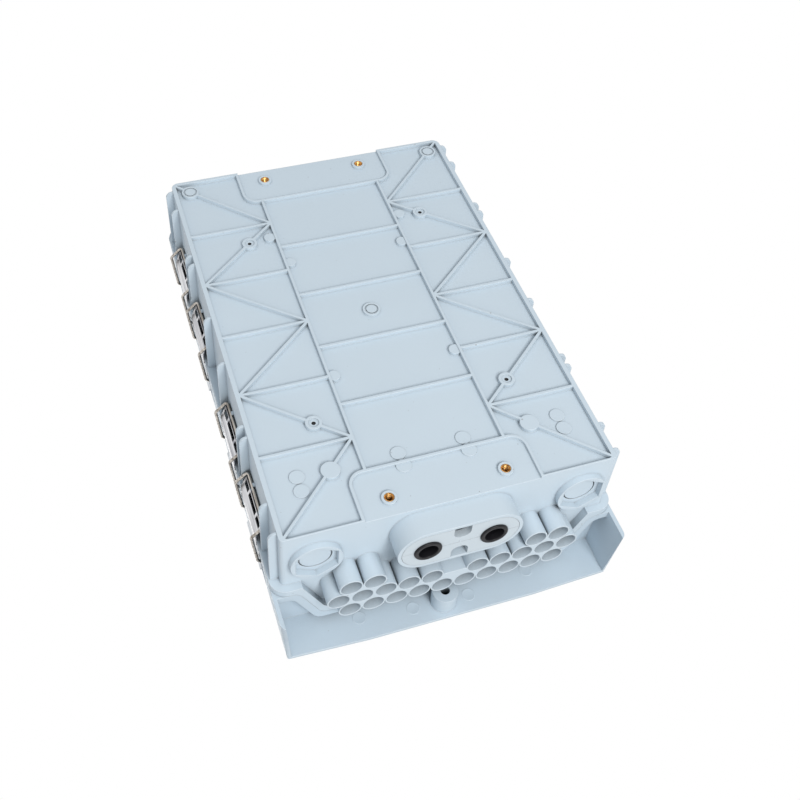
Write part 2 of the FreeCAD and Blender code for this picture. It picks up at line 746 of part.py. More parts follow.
# Hinge knuckles of the base on the far side, two short ones for each hinge with the lid's knuckle between.
# Each stands on the edge of the flange.
hinge_stations = ["latch_outer_z", "-latch_outer_z"]
base_knuckles = []
hinge_bores = []
for index, station in enumerate(hinge_stations):
    barrel_length = "((hinge_length - hinge_lid_length) / 2 - hinge_side_gap)"
    starts = (station + " + hinge_lid_length / 2 + hinge_side_gap", station + " - hinge_length / 2")
    for end, start in enumerate(starts):
        word = "%d_%d" % (index + 1, end + 1)
        base_barrel = rod(
            "base_barrel_" + word, "up", "hinge_barrel", barrel_length, "-hinge_x", "-parting", start
        )
        base_web = extrude(
            "base_barrel_web_" + word, "end", start, barrel_length,
            [[("-hinge_x", "-parting"), ("-flange_half", "-parting"), ("-flange_half", "-ledge_depth"),
              ("-hinge_x", "-parting + hinge_barrel")]],
        )
        base_knuckles.append(fuse("base_knuckle_" + word, [base_barrel, base_web]))
    hinge_bores.append(rod(
        "base_hinge_bore_%d" % (index + 1), "up", "hinge_pin + 0.01", "hinge_length + 2",
        "-hinge_x", "-parting", station + " - hinge_length / 2 - 1",
    ))
nodes["base_hinges"] = cut(
    "base_hinges", group("base_knuckles", base_knuckles), group("base_hinge_bores", hinge_bores)
)

# Stand-offs inside the base for the splice tray.
tray_places = []
for sx in ("", "-"):
    for sz in ("+", "-"):
        tray_places.append((
            "%s(tray_length / 2 - tray_screw_in)" % sx, "tray_z %s (tray_height / 2 - tray_screw_in)" % sz
        ))
tray_posts = extrude(
    "tray_posts", "back", "inner_back - 1", "tray_stand + 1",
    rings=[(x, z, "tray_post") for x, z in tray_places],
)
tray_post_holes = extrude(
    "tray_post_holes", "back", "inner_back + 1", "tray_stand",
    rings=[(x, z, "small_screw") for x, z in tray_places],
)

back_ribs = fuse(
    "back_ribs",
    [rails, cross_ribs, falling_ribs, rising_ribs] + pad_frames + pad_floors
    + [bosses, insert_bosses, gate, rail_discs, floor_discs, pad_discs],
)
tube_cluster = fuse("tube_cluster", [tubes, tube_web, upper_webs])
dipped_shell = fuse("dipped_shell", [recessed, end_wall, dip_flange])
ported_shell = fuse("ported_shell", [dipped_shell, tube_cluster, collar, gland_bosses])
ports_removed = group("ports_removed", [tube_bores, collar_seat, collar_way, gland_pockets, gland_grooves])
ported_base = cut("ported_base", ported_shell, ports_removed)
ribbed_base = fuse("ribbed_base", [ported_base, back_ribs, tray_posts])
base_added = fuse("base_added", [ribbed_base, fins, fins_twin, catch_columns, catch_tabs])
base_removed = group(
    "base_removed",
    [pad_windows, corner_grooves, boss_recesses, boss_holes, gate_channel, insert_seats, catch_slots,
     tray_post_holes],
)
nodes["base_box"] = cut("base_box", base_added, base_removed)

# Mounting inserts: four brass bushes moulded into the pad bosses, threaded for the wall bracket's screws.
nodes["mount_inserts"] = extrude(
    "mount_inserts", "back", "0", "insert_length",
    rings=[(x, z, size) for x, z in insert_places for size in ("insert_outer", "insert_bore")],
)

# Lid: a tapered tray with a sealing rim, whose front runs on past the tubes as a rain hood.
# Its cable-end wall follows the dip of the base, and the latch side has a bay for each lever.
lid_block = extrude(
    "lid_block", "back", "lid_top", "lid_height",
    [[("-flange_half", "-hood_end + hood_bow", "base_corner"),
      ("-flange_half / 2", "-hood_end + hood_bow / 5"),
      ("flange_half / 2", "-hood_end + hood_bow / 5"), ("flange_half", "-hood_end + hood_bow", "base_corner"),
      ("flange_half", "flange_top", "base_corner"), ("-flange_half", "flange_top", "base_corner")]],
    taper="-lid_taper",
)
lid_cavity = extrude(
    "lid_cavity", "back", "lid_top - 0.5", "lid_height - lid_wall + 0.5",
    [oblong("-flange_half + lid_wall", "flange_half - lid_wall", "-port_wall", "flange_top - lid_wall",
            "base_corner - 1")],
    taper="-lid_taper",
)
hood_space = extrude(
    "hood_space", "back", "lid_top - 0.5", "lid_height - lid_wall + 0.5",
    [oblong("-flange_half + lid_wall", "flange_half - lid_wall", "-hood_end - 9", "-hood_back", "4")],
    taper="-lid_taper",
)
lid_hollow = group("lid_hollow", [lid_cavity, hood_space])
lid_shell = cut("lid_shell", lid_block, lid_hollow)
rim_outer = extrude(
    "rim_outer", "back", "lid_top", "lid_rim_height - lid_gap",
    [oblong("-flange_half + 1.2", "flange_half - 1.2", "-port_wall + 1", "flange_top - 1.2", "base_corner"),
     oblong("-flange_half + lid_rim_width", "flange_half - lid_rim_width", "-port_wall + 1.2 + lid_wall",
            "flange_top - lid_rim_width", "base_corner - 4")],
)
lid_dip = [
    ("flange_half - lid_wall + 0.5", "-lid_top"),
    ("dip_top_x", "-lid_top", "dip_round"),
    ("dip_low_x", "-dip - lid_gap", "dip_round"),
    ("-dip_low_x", "-dip - lid_gap", "dip_round"),
    ("-dip_top_x", "-lid_top", "dip_round"),
    ("-flange_half + lid_wall - 0.5", "-lid_top"),
]
lid_dip_front = [
    ("-flange_half + lid_wall - 0.5", "-lid_top - lid_rim_height"),
    ("-dip_top_x - 4", "-lid_top - lid_rim_height", "dip_round"),
    ("-dip_low_x - 4", "-dip - lid_gap - lid_rim_height", "dip_round"),
    ("dip_low_x + 4", "-dip - lid_gap - lid_rim_height", "dip_round"),
    ("dip_top_x + 4", "-lid_top - lid_rim_height", "dip_round"),
    ("flange_half - lid_wall + 0.5", "-lid_top - lid_rim_height"),
]
dip_rim = extrude("dip_rim", "end", "-flange_end", "end_reach + 6", [lid_dip + lid_dip_front])
dip_mouth = extrude(
    "dip_mouth", "end", "-flange_end - 1", "end_reach + 20",
    [lid_dip + [("-flange_half + lid_wall - 0.5", "-lid_top + 2"),
                ("flange_half - lid_wall + 0.5", "-lid_top + 2")]],
)
lid_post = extrude(
    "lid_post", "back", "lid_floor - post_height", "post_height + 1",
    rings=[("post_x", "-base_end - post_z", "post")],
)
lid_post_hole = extrude(
    "lid_post_hole", "back", "lid_floor - post_height - 1", "post_height",
    rings=[("post_x", "-base_end - post_z", "post_hole")],
)
bay_walls = extrude(
    "bay_walls", "back", "lid_top + lid_rim_height - 2", "lid_floor - lid_top - lid_rim_height + 2.5",
    [oblong("bay_floor - lid_wall", "flange_half - lid_taper - 1.5", "%s - bay_half - bay_cheek" % station,
            "%s + bay_half + bay_cheek" % station) for station in latch_stations],
)
bay_spaces = extrude(
    "bay_spaces", "back", "lid_top + lid_rim_height", "lid_floor - lid_top - lid_rim_height",
    [oblong("bay_floor", "flange_half + 5", "%s - bay_half" % station, "%s + bay_half" % station)
     for station in latch_stations],
)
lever_pin_seats = extrude(
    "lever_pin_seats", "end", "-latch_outer_z - bay_half - bay_cheek + 0.6",
    "2 * (latch_outer_z + bay_half + bay_cheek) - 1.2", rings=[("pivot_x", "-pivot_depth", "lever_pin")],
)
lid_knuckles = []
lid_bores = []
for index, station in enumerate(hinge_stations):
    start = station + " - hinge_lid_length / 2"
    lid_barrel = rod(
        "lid_barrel_%d" % (index + 1), "up", "hinge_barrel", "hinge_lid_length", "-hinge_x", "-parting", start
    )
    lid_web = extrude(
        "lid_barrel_web_%d" % (index + 1), "end", start, "hinge_lid_length",
        [[("-hinge_x", "-lid_top"), ("-hinge_x", "-parting - hinge_barrel"),
          ("-flange_half + 1.4", "-lid_top - lid_rim_height + 1"), ("-flange_half + 1.4", "-lid_top")]],
    )
    lid_knuckles.append(fuse("lid_knuckle_%d" % (index + 1), [lid_barrel, lid_web]))
    lid_bores.append(rod(
        "lid_hinge_bore_%d" % (index + 1), "up", "hinge_pin + pin_play", "hinge_lid_length + 2",
        "-hinge_x", "-parting", station + " - hinge_lid_length / 2 - 1",
    ))

# Seal: one rubber cord round the rim that follows the dip at the cable end. It lies in a groove of the lid.
seal_rim = extrude(
    "seal_rim", "back", "seal_face", "seal_height",
    [oblong("-seal_x", "seal_x", "-seal_end", "seal_top", "base_corner"),
     oblong("-seal_x + seal_width", "seal_x - seal_width", "-seal_end + seal_width", "seal_top - seal_width",
            "base_corner - seal_width")],
)
seal_line = [
    ("dip_top_x + 8", "-seal_face"),
    ("dip_top_x", "-seal_face", "dip_round"),
    ("dip_low_x", "-dip - seal_play", "dip_round"),
    ("-dip_low_x", "-dip - seal_play", "dip_round"),
    ("-dip_top_x", "-seal_face", "dip_round"),
    ("-dip_top_x - 8", "-seal_face"),
]
seal_under = [
    ("-dip_top_x - 8", "-seal_face - seal_height"),
    ("-dip_top_x - 1", "-seal_face - seal_height", "dip_round"),
    ("-dip_low_x - 1", "-dip - seal_play - seal_height", "dip_round"),
    ("dip_low_x + 1", "-dip - seal_play - seal_height", "dip_round"),
    ("dip_top_x + 1", "-seal_face - seal_height", "dip_round"),
    ("dip_top_x + 8", "-seal_face - seal_height"),
]
seal_dip = extrude("seal_dip", "end", "-seal_end", "seal_width", [seal_line + seal_under])
seal_gap = block(
    "seal_gap", "2 * dip_top_x + 8", "seal_height + 2", "seal_width + 2",
    "-dip_top_x - 4", "-seal_face - seal_height - 1", "-seal_end - 1",
)
seal_open = cut("seal_open", seal_rim, seal_gap)
nodes["lid_seal"] = fuse("lid_seal", [seal_open, seal_dip])

lid_added = fuse("lid_added", [lid_shell, rim_outer, dip_rim, lid_post, bay_walls])
lid_removed = group("lid_removed", [dip_mouth, lid_post_hole, bay_spaces, lever_pin_seats])
lid_cut = cut("lid_cut", lid_added, lid_removed)
seal_groove = doc.addObject("Part::Compound", "seal_groove")
seal_groove.Links = [nodes["lid_seal"]]
nodes["lid"] = cut("lid", lid_cut, seal_groove)

# Hinge knuckles of the lid, one for each hinge, standing on the tapered side of the lid.
lid_side = doc.addObject("Part::Compound", "lid_side")
lid_side.Links = [nodes["lid"]]
lid_knuckles_bored = cut(
    "lid_knuckles_bored", group("lid_knuckles", lid_knuckles), group("lid_hinge_bores", lid_bores)
)
nodes["lid_hinges"] = cut("lid_hinges", lid_knuckles_bored, lid_side)

# Hinge pins: two steel pins held in the base's barrels.
nodes["hinge_pins"] = group("hinge_pins", [
    rod("hinge_pin_%d" % (index + 1), "up", "hinge_pin", "hinge_length", "-hinge_x", "-parting",
        station + " - hinge_length / 2")
    for index, station in enumerate(hinge_stations)
])

# Keepers: four strips of pressed steel that stand against the catch columns and lap over the flange's edge,
# so that the wire bails bear on metal when they are pulled across.
keepers = []
for index, station in enumerate(latch_stations):
    keepers.append(extrude(
        "keeper_%d" % (index + 1), "end", station + " - keeper_half", "2 * keeper_half",
        [[("half + catch_reach", "-catch_top - keeper_step"),
          ("half + catch_reach", "-ledge_depth + keeper_bend"),
          ("flange_half", "-ledge_depth"),
          ("flange_half", "-ledge_depth - keeper_lap"),
          ("flange_half + keeper_sheet", "-ledge_depth - keeper_lap"),
          ("flange_half + keeper_sheet", "-ledge_depth + 0.4 * keeper_sheet"),
          ("half + catch_reach + keeper_sheet", "-ledge_depth + keeper_bend + 0.4 * keeper_sheet"),
          ("half + catch_reach + keeper_sheet", "-catch_top - keeper_step")]],
    ))
nodes["latch_keepers"] = group("latch_keepers", keepers)

# Latches: each lever turns on a pin across its bay of the lid and carries a wire bail that lies on the catches.
# The bail runs out over the flange, down past the lid's rim and back in to the lever's foot barrel.
lever_pins = []
for index, station in enumerate(latch_stations):
    word = str(index + 1)
    lever_pins.append(rod(
        "latch_pin_" + word, "up", "lever_pin", "2 * bay_half + 2 * bay_cheek - 1.2",
        "pivot_x", "-pivot_depth",
        station + " - bay_half - bay_cheek + 0.6",
    ))
    bottom = station + " - lever_half"
    handle = extrude(
        "lever_handle_" + word, "end", bottom, "2 * lever_half",
        [[("pivot_x + lever_barrel", "-pivot_depth"),
          ("pivot_x + lever_barrel - lever_thick", "-pivot_depth"),
          ("pivot_x + lever_barrel - lever_thick - lever_lean", "-pivot_depth - lever_length", "2"),
          ("pivot_x + lever_barrel - lever_thick - lever_lean + lever_tip",
           "-pivot_depth - lever_length - 3"),
          ("pivot_x + lever_barrel - lever_lean + lever_tip", "-pivot_depth - lever_length - 2"),
          ("pivot_x + lever_barrel - lever_lean", "-pivot_depth - lever_length", "2")]],
    )
    pivot_barrel = rod(
        "lever_barrel_" + word, "up", "lever_barrel", "2 * lever_half", "pivot_x", "-pivot_depth", bottom
    )
    foot_barrel = rod(
        "foot_barrel_" + word, "up", "lever_barrel - 0.4", "2 * lever_half", "foot_x", "-foot_depth", bottom
    )
    lever_solid = fuse("lever_solid_" + word, [handle, pivot_barrel, foot_barrel])
    lever_holes = group("lever_holes_" + word, [
        rod("pivot_hole_" + word, "up", "lever_pin + pin_play", "2 * lever_half + 2",
            "pivot_x", "-pivot_depth",
            bottom + " - 1"),
        rod("foot_hole_" + word, "up", "wire + pin_play", "2 * lever_half + 2", "foot_x", "-foot_depth",
            bottom + " - 1"),
    ])
    nodes["latch_lever_" + word] = cut("latch_lever_" + word, lever_solid, lever_holes)

    # The arm's path is drawn once above and once below the latch's middle; two straight bars close the loop.
    arms = []
    for name, side in (("upper", "+"), ("lower", "-")):
        spine = drawing("bail_path_%s_%s" % (name, word), "end", "%s %s bail_half" % (station, side))
        points = path(spine, [
            ("wire_x", "-wire_depth"),
            ("wire_x + bail_shoulder_out", "-wire_depth - bail_shoulder_drop"),
            ("wire_x + bail_knee_out", "-wire_depth - bail_knee_drop"),
            ("foot_x", "-foot_depth"),
        ])
        section = doc.addObject("Part::Circle", "bail_section_%s_%s" % (name, word))
        bind(section, Radius="wire")
        heading = (points[1] - points[0]).normalize()
        section.Placement = FreeCAD.Placement(
            FreeCAD.Vector(), FreeCAD.Rotation(FreeCAD.Vector(0, 0, 1), heading)
        )
        place(section, "wire_x", "-wire_depth", "%s %s bail_half" % (station, side))
        arm = doc.addObject("Part::Sweep", "bail_arm_%s_%s" % (name, word))
        arm.Sections = [section]
        arm.Spine = (spine, [])
        arm.Solid = True
        arm.Transition = "Right corner"
        arms.append(arm)
    bars = []
    for name, x, depth in (("cross", "wire_x", "wire_depth"), ("foot", "foot_x", "foot_depth")):
        bars.append(rod(
            "bail_%s_bar_%s" % (name, word), "up", "wire", "2 * bail_half + 1.2 * wire", x, "-(%s)" % depth,
            station + " - bail_half - 0.6 * wire",
        ))
    nodes["latch_bail_" + word] = fuse("latch_bail_" + word, arms + bars)
nodes["latch_pins"] = group("latch_pins", lever_pins)

# Entry plate: two halves that close round the grommets, with a thumb notch in each outer edge.
plate_oval = oval("plate_oval", "-tube_end", "plate_thick", "(oval_wall + plate_gap)")
plate_holes = extrude(
    "plate_holes", "end", "-tube_end - 1", "plate_thick + 2",
    [[("notch_half", "-oval_depth + oval_r"), ("-notch_half", "-oval_depth + oval_r"),
      ("-notch_half", "-oval_depth + oval_r - oval_wall - notch_depth", "notch_half - 0.5"),
      ("notch_half", "-oval_depth + oval_r - oval_wall - notch_depth", "notch_half - 0.5")],
     [("notch_half", "-oval_depth - oval_r"), ("-notch_half", "-oval_depth - oval_r"),
      ("-notch_half", "-oval_depth - oval_r + oval_wall + notch_depth", "notch_half - 0.5"),
      ("notch_half", "-oval_depth - oval_r + oval_wall + notch_depth", "notch_half - 0.5")]],
    [(x, "-oval_depth", "grommet_body + grommet_play") for x in ("grommet_x", "-grommet_x")],
)
plate_whole = cut("plate_whole", plate_oval, plate_holes)
plate_sides = (("upper", "-oval_depth - oval_height + plate_gap / 2"), ("lower", "-oval_depth - plate_gap / 2"))
for word, low in plate_sides:
    other = block(
        "plate_off_" + word, "oval_length", "oval_height", "plate_thick + 2", "-oval_half", low, "-tube_end - 1"
    )
    nodes["entry_plate_" + word] = cut("entry_plate_" + word, plate_whole, other)

# Grommets: two rubber collars with a lip on each face of the plate.
grommets = []
for word, side in (("left", ""), ("right", "-")):
    x = side + "grommet_x"
    parts = fuse("grommet_solid_" + word, [
        rod("grommet_front_" + word, "up", "grommet_lip", "grommet_lip_thick", x, "-oval_depth",
            "-tube_end - grommet_lip_thick"),
        rod("grommet_waist_" + word, "up", "grommet_body", "plate_thick", x, "-oval_depth", "-tube_end"),
        rod("grommet_rear_" + word, "up", "grommet_lip", "grommet_lip_thick", x, "-oval_depth",
            "-plate_back"),
    ])
    bore = rod("grommet_bore_" + word, "up", "grommet_bore", "plate_thick + 2 * grommet_lip_thick + 2", x,
               "-oval_depth", "-tube_end - grommet_lip_thick - 1")
    grommets.append(cut("grommet_" + word, parts, bore))
nodes["entry_grommets"] = group("entry_grommets", grommets)

# Splice tray on the stand-offs, with a clear cover and four screws.
tray_low_z = "tray_z - tray_height / 2"
tray_high_z = "tray_z + tray_height / 2"
tray_block = extrude(
    "tray_block", "back", "tray_seat", "tray_depth",
    [oblong("-tray_length / 2", "tray_length / 2", tray_low_z, tray_high_z, "tray_corner")],
)
tray_space = extrude(
    "tray_space", "back", "tray_seat + tray_wall", "tray_depth",
    [oblong("-tray_length / 2 + tray_wall", "tray_length / 2 - tray_wall", tray_low_z + " + tray_wall",
            tray_high_z + " - tray_wall", "tray_corner - tray_wall")],
)
tray_holes = extrude(
    "tray_holes", "back", "tray_seat - 1", "tray_depth", rings=[(x, z, "small_screw") for x, z in tray_places]
)
nodes["splice_tray"] = cut("splice_tray", tray_block, group("tray_removed", [tray_space, tray_holes]))
nodes["tray_cover"] = extrude(
    "tray_cover", "back", "tray_seat + tray_depth", "cover_thick",
    [oblong("-tray_length / 2", "tray_length / 2", tray_low_z, tray_high_z, "tray_corner")],
)
screw_items = []
for index, (x, z) in enumerate(tray_places):
    screw_items.append(fuse("tray_screw_%d" % (index + 1), [
        rod("tray_screw_head_%d" % (index + 1), "back", "small_head", "head_height", x,
            "-(tray_seat + tray_wall)", z),
        rod("tray_screw_shank_%d" % (index + 1), "back", "small_screw", "tray_stand - 2 + tray_wall", x,
            "-(tray_seat + tray_wall - (tray_stand - 2 + tray_wall))", z),
    ]))
nodes["tray_screws"] = group("tray_screws", screw_items)

# Adapter panel: a folded plate across the box with two rows of fibre adapters, screwed to the inner back.
panel_plate = block(
    "panel_plate", "2 * panel_half", "panel_height", "panel_thick",
    "-panel_half", "-inner_back - panel_height", "-panel_z",
)
panel_base = block(
    "panel_base", "2 * panel_half", "panel_thick", "panel_foot",
    "-panel_half", "-inner_back - panel_thick", "-panel_z",
)
panel_solid = fuse("panel_solid", [panel_plate, panel_base])
adapter_bodies = []
adapter_windows = []
for row in (0, 1):
    depth = "(inner_back + adapter_row + %d * adapter_row_pitch)" % row
    for column in range(12):
        x = "(%s * adapter_pitch)" % (column - 5.5)
        word = "%d_%d" % (row + 1, column + 1)
        adapter_bodies.append(block(
            "adapter_body_" + word, "adapter_width", "adapter_height", "adapter_length",
            x + " - adapter_width / 2", "-%s - adapter_height / 2" % depth, "-panel_z - adapter_length / 2",
        ))
        adapter_bodies.append(block(
            "adapter_flange_" + word, "adapter_width", "adapter_flange", "adapter_flange_thick",
            x + " - adapter_width / 2", "-%s - adapter_flange / 2" % depth, "-panel_z - adapter_flange_thick",
        ))
        adapter_windows.append(block(
            "adapter_window_" + word, "adapter_width + 2 * adapter_fit", "adapter_height + 2 * adapter_fit",
            "panel_thick + 2", x + " - adapter_width / 2 - adapter_fit",
            "-%s - adapter_height / 2 - adapter_fit" % depth, "-panel_z - 1",
        ))
panel_screw_places = [
    (side + "panel_screw_x", "-panel_z + panel_thick + panel_foot / 2") for side in ("", "-")
]
panel_holes = [
    rod("panel_hole_%d" % (index + 1), "back", "small_screw", "panel_thick + 2", x, "-inner_back + 1", z)
    for index, (x, z) in enumerate(panel_screw_places)
]
panel_removed = group("panel_removed", adapter_windows + panel_holes)
nodes["adapter_panel"] = cut("adapter_panel", panel_solid, panel_removed)
nodes["fibre_adapters"] = fuse("fibre_adapters", adapter_bodies)
nodes["panel_screws"] = group("panel_screws", [
    fuse("panel_screw_%d" % (index + 1), [
        rod("panel_screw_head_%d" % (index + 1), "back", "small_head", "head_height", x,
            "-inner_back - panel_thick", z),
        rod("panel_screw_shank_%d" % (index + 1), "back", "small_screw", "panel_thick", x, "-inner_back", z),
    ]) for index, (x, z) in enumerate(panel_screw_places)
])

# Cable clamps: two saddles on the inner back, in line with the grommets, each held by two screws.
clamps = []
clamp_screws = []
for word, side in (("left", ""), ("right", "-")):
    x = side + "grommet_x"
    saddle = extrude(
        "clamp_saddle_" + word, "end", "-clamp_z", "clamp_length",
        [[(x + " - clamp_bore - clamp_wall", "-inner_back"), (x + " - clamp_bore - clamp_wall",
           "-inner_back - 2 * clamp_bore - clamp_wall", "clamp_bore + clamp_wall - 0.1"),
          (x + " + clamp_bore + clamp_wall", "-inner_back - 2 * clamp_bore - clamp_wall",
           "clamp_bore + clamp_wall - 0.1"),
          (x + " + clamp_bore + clamp_wall", "-inner_back")]],
    )
    feet = block("clamp_feet_" + word, "2 * (clamp_bore + clamp_wall + clamp_foot)",
                 "clamp_wall", "clamp_length",
                 x + " - clamp_bore - clamp_wall - clamp_foot", "-inner_back - clamp_wall", "-clamp_z")
    cable_way = extrude(
        "clamp_way_" + word, "end", "-clamp_z - 1", "clamp_length + 2",
        [[(x + " - clamp_bore", "-inner_back + 1"),
          (x + " - clamp_bore", "-inner_back - 2 * clamp_bore", "clamp_bore - 0.1"),
          (x + " + clamp_bore", "-inner_back - 2 * clamp_bore", "clamp_bore - 0.1"),
          (x + " + clamp_bore", "-inner_back + 1")]],
    )
    solid = fuse("clamp_solid_" + word, [saddle, feet])
    holes = [cable_way]
    for end, sign in (("outer", "+"), ("inner", "-")):
        hole_x = "%s %s (clamp_bore + clamp_wall + clamp_foot / 2)" % (x, sign)
        hole_z = "-clamp_z + clamp_length / 2"
        holes.append(rod("clamp_hole_%s_%s" % (word, end), "back", "small_screw", "clamp_wall + 2", hole_x,
                         "-inner_back + 1", hole_z))
        clamp_screws.append(fuse("clamp_screw_%s_%s" % (word, end), [
            rod("clamp_head_%s_%s" % (word, end), "back", "small_head", "head_height", hole_x,
                "-inner_back - clamp_wall", hole_z),
            rod("clamp_shank_%s_%s" % (word, end), "back", "small_screw", "clamp_wall", hole_x,
                "-inner_back", hole_z),
        ]))
    clamps.append(cut("clamp_" + word, solid, group("clamp_removed_" + word, holes)))
nodes["cable_clamps"] = group("cable_clamps", clamps)
nodes["clamp_screws"] = group("clamp_screws", clamp_screws)

# Every object has to be sound before its solid is written out.
doc.recompute()
for item in doc.Objects:
    if "Invalid" in item.State or "Error" in item.State:
        raise RuntimeError("%s did not compute: %s" % (item.Name, item.State))
for name, item in nodes.items():
    item.Label = name
    if item.Shape.isNull() or not item.Shape.isValid():
        raise RuntimeError("%s has no sound shape" % name)
    item.Shape.exportStep("parts/%s.step" % name)
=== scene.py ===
import math

import bmesh
import bpy
from mathutils import Matrix, Vector


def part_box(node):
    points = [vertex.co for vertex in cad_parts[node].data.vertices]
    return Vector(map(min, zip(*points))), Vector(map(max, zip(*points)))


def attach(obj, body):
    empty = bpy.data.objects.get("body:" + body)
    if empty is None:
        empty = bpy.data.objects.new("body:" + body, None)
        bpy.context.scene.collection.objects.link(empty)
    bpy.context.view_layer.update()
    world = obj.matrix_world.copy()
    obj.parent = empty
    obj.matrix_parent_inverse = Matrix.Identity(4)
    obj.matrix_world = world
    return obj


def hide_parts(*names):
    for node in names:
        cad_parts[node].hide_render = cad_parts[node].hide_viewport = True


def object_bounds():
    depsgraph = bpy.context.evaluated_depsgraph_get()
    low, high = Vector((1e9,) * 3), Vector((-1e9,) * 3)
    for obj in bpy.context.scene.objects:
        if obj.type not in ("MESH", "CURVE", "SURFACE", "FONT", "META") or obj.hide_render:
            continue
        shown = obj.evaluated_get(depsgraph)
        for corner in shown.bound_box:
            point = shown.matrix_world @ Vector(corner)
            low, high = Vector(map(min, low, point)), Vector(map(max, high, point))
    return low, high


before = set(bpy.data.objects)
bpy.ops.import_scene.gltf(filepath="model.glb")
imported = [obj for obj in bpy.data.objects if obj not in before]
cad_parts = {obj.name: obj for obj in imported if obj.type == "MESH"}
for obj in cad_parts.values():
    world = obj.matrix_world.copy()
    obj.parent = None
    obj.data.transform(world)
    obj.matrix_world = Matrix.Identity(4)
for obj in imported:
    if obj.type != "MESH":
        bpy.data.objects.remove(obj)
cad_low, cad_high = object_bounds()

# Base moulding: one deep tray of grey-blue weatherproof plastic with a ribbed back, injection moulded.
# Its skin has a faint grain, a slight cloudiness in the colour and small dust specks, with a painted
# highlight on its edges and painted shade in its creases.
# Four screws into brass inserts hold it to a wall bracket.


def shader_group(name, inputs, outputs):
    """Start a shader node group with named sockets and return it with its input and output nodes."""
    group = bpy.data.node_groups.new(name, "ShaderNodeTree")
    for label, kind, value in inputs:
        socket = group.interface.new_socket(label, in_out="INPUT", socket_type=kind)
        socket.default_value = value
    for label, kind in outputs:
        group.interface.new_socket(label, in_out="OUTPUT", socket_type=kind)
    return group, group.nodes.new("NodeGroupInput"), group.nodes.new("NodeGroupOutput")


def add(tree, kind, links=None, **values):
    """Add a node, set its values by attribute or socket name, and link its inputs."""
    node = tree.nodes.new(kind)
    for key, value in values.items():
        if hasattr(node, key):
            setattr(node, key, value)
        else:
            node.inputs[key.replace("_", " ")].default_value = value
    for key, source in (links or {}).items():
        tree.links.new(source, node.inputs[key])
    return node


def maths(tree, operation, *terms, clamp=False):
    """Add one arithmetic node; each term is a number or the output it is read from."""
    node = tree.nodes.new("ShaderNodeMath")
    node.operation = operation
    node.use_clamp = clamp
    for index, term in enumerate(terms):
        if isinstance(term, (int, float)):
            node.inputs[index].default_value = term
        else:
            tree.links.new(term, node.inputs[index])
    return node.outputs[0]


# The moulded grain is a cloudy colour with a fine speckle and a leathery micro-texture.
grain, grain_in, grain_out = shader_group(
    "moulded_grain",
    [("Colour", "NodeSocketColor", (0.6, 0.7, 0.75, 1)), ("Cloud", "NodeSocketFloat", 0.04),
     ("Grain Size", "NodeSocketFloat", 900.0), ("Roughness", "NodeSocketFloat", 0.45)],
    [("Colour", "NodeSocketColor"), ("Roughness", "NodeSocketFloat"), ("Height", "NodeSocketFloat")],
)
grain_place = add(grain, "ShaderNodeTexCoord").outputs["Object"]
cloud = add(grain, "ShaderNodeTexNoise", {"Vector": grain_place}, Scale=14.0, Detail=3.0, Roughness=0.55)
speckle = add(
    grain, "ShaderNodeTexNoise", {"Vector": grain_place, "Scale": grain_in.outputs["Grain Size"]}, Detail=2.0
)
cloud_shift = maths(grain, "SUBTRACT", cloud.outputs["Fac"], 0.5)
cloud_step = maths(grain, "MULTIPLY", cloud_shift, grain_in.outputs["Cloud"])
speckle_level = maths(grain, "MULTIPLY_ADD", speckle.outputs["Fac"], 0.03, 0.985)
tinted = add(grain, "ShaderNodeVectorMath", {0: grain_in.outputs["Colour"]}, operation="SCALE")
grain.links.new(maths(grain, "ADD", speckle_level, cloud_step), tinted.inputs["Scale"])
grain.links.new(tinted.outputs[0], grain_out.inputs["Colour"])
grain.links.new(maths(grain, "ADD", cloud_step, grain_in.outputs["Roughness"]), grain_out.inputs["Roughness"])
grain.links.new(speckle.outputs["Fac"], grain_out.inputs["Height"])

# Painted highlight: edges are painted paler where the rounded normal turns away from the flat face, broken up
# by a soft noise.
edge_highlight_group, edge_highlight_in, edge_highlight_out = shader_group(
    "painted_edge_highlight",
    [("Colour", "NodeSocketColor", (0.6, 0.7, 0.75, 1)), ("Soft Normal", "NodeSocketVector", (0, 0, 1)),
     ("Paler", "NodeSocketFloat", 0.5)],
    [("Colour", "NodeSocketColor"), ("Mask", "NodeSocketFloat")],
)
flat_face = add(edge_highlight_group, "ShaderNodeNewGeometry")
turned_away = add(
    edge_highlight_group, "ShaderNodeVectorMath", {0: flat_face.outputs["Normal"], 1: edge_highlight_in.outputs["Soft Normal"]},
    operation="DOT_PRODUCT",
)
highlight_place = add(edge_highlight_group, "ShaderNodeTexCoord").outputs["Object"]
highlight_noise = add(edge_highlight_group, "ShaderNodeTexNoise", {"Vector": highlight_place}, Scale=60.0, Detail=4.0)
highlight_break = maths(edge_highlight_group, "MULTIPLY_ADD", highlight_noise.outputs["Fac"], 1.2, 0.3, clamp=True)
edge_turn = maths(edge_highlight_group, "SUBTRACT", 1.0, turned_away.outputs["Value"])
edge_gain = maths(edge_highlight_group, "MULTIPLY", edge_turn, 5.0, clamp=True)
edge_mask = maths(edge_highlight_group, "MULTIPLY", edge_gain, highlight_break)
edge_pale = maths(edge_highlight_group, "MULTIPLY", edge_mask, edge_highlight_in.outputs["Paler"])
edge_mix = add(edge_highlight_group, "ShaderNodeMix", data_type="RGBA", blend_type="MIX")
edge_highlight_group.links.new(edge_pale, edge_mix.inputs[0])
edge_highlight_group.links.new(edge_highlight_in.outputs["Colour"], edge_mix.inputs[6])
edge_mix.inputs[7].default_value = (0.86, 0.9, 0.93, 1)
edge_highlight_group.links.new(edge_mix.outputs[2], edge_highlight_out.inputs["Colour"])
edge_highlight_group.links.new(edge_mask, edge_highlight_out.inputs["Mask"])

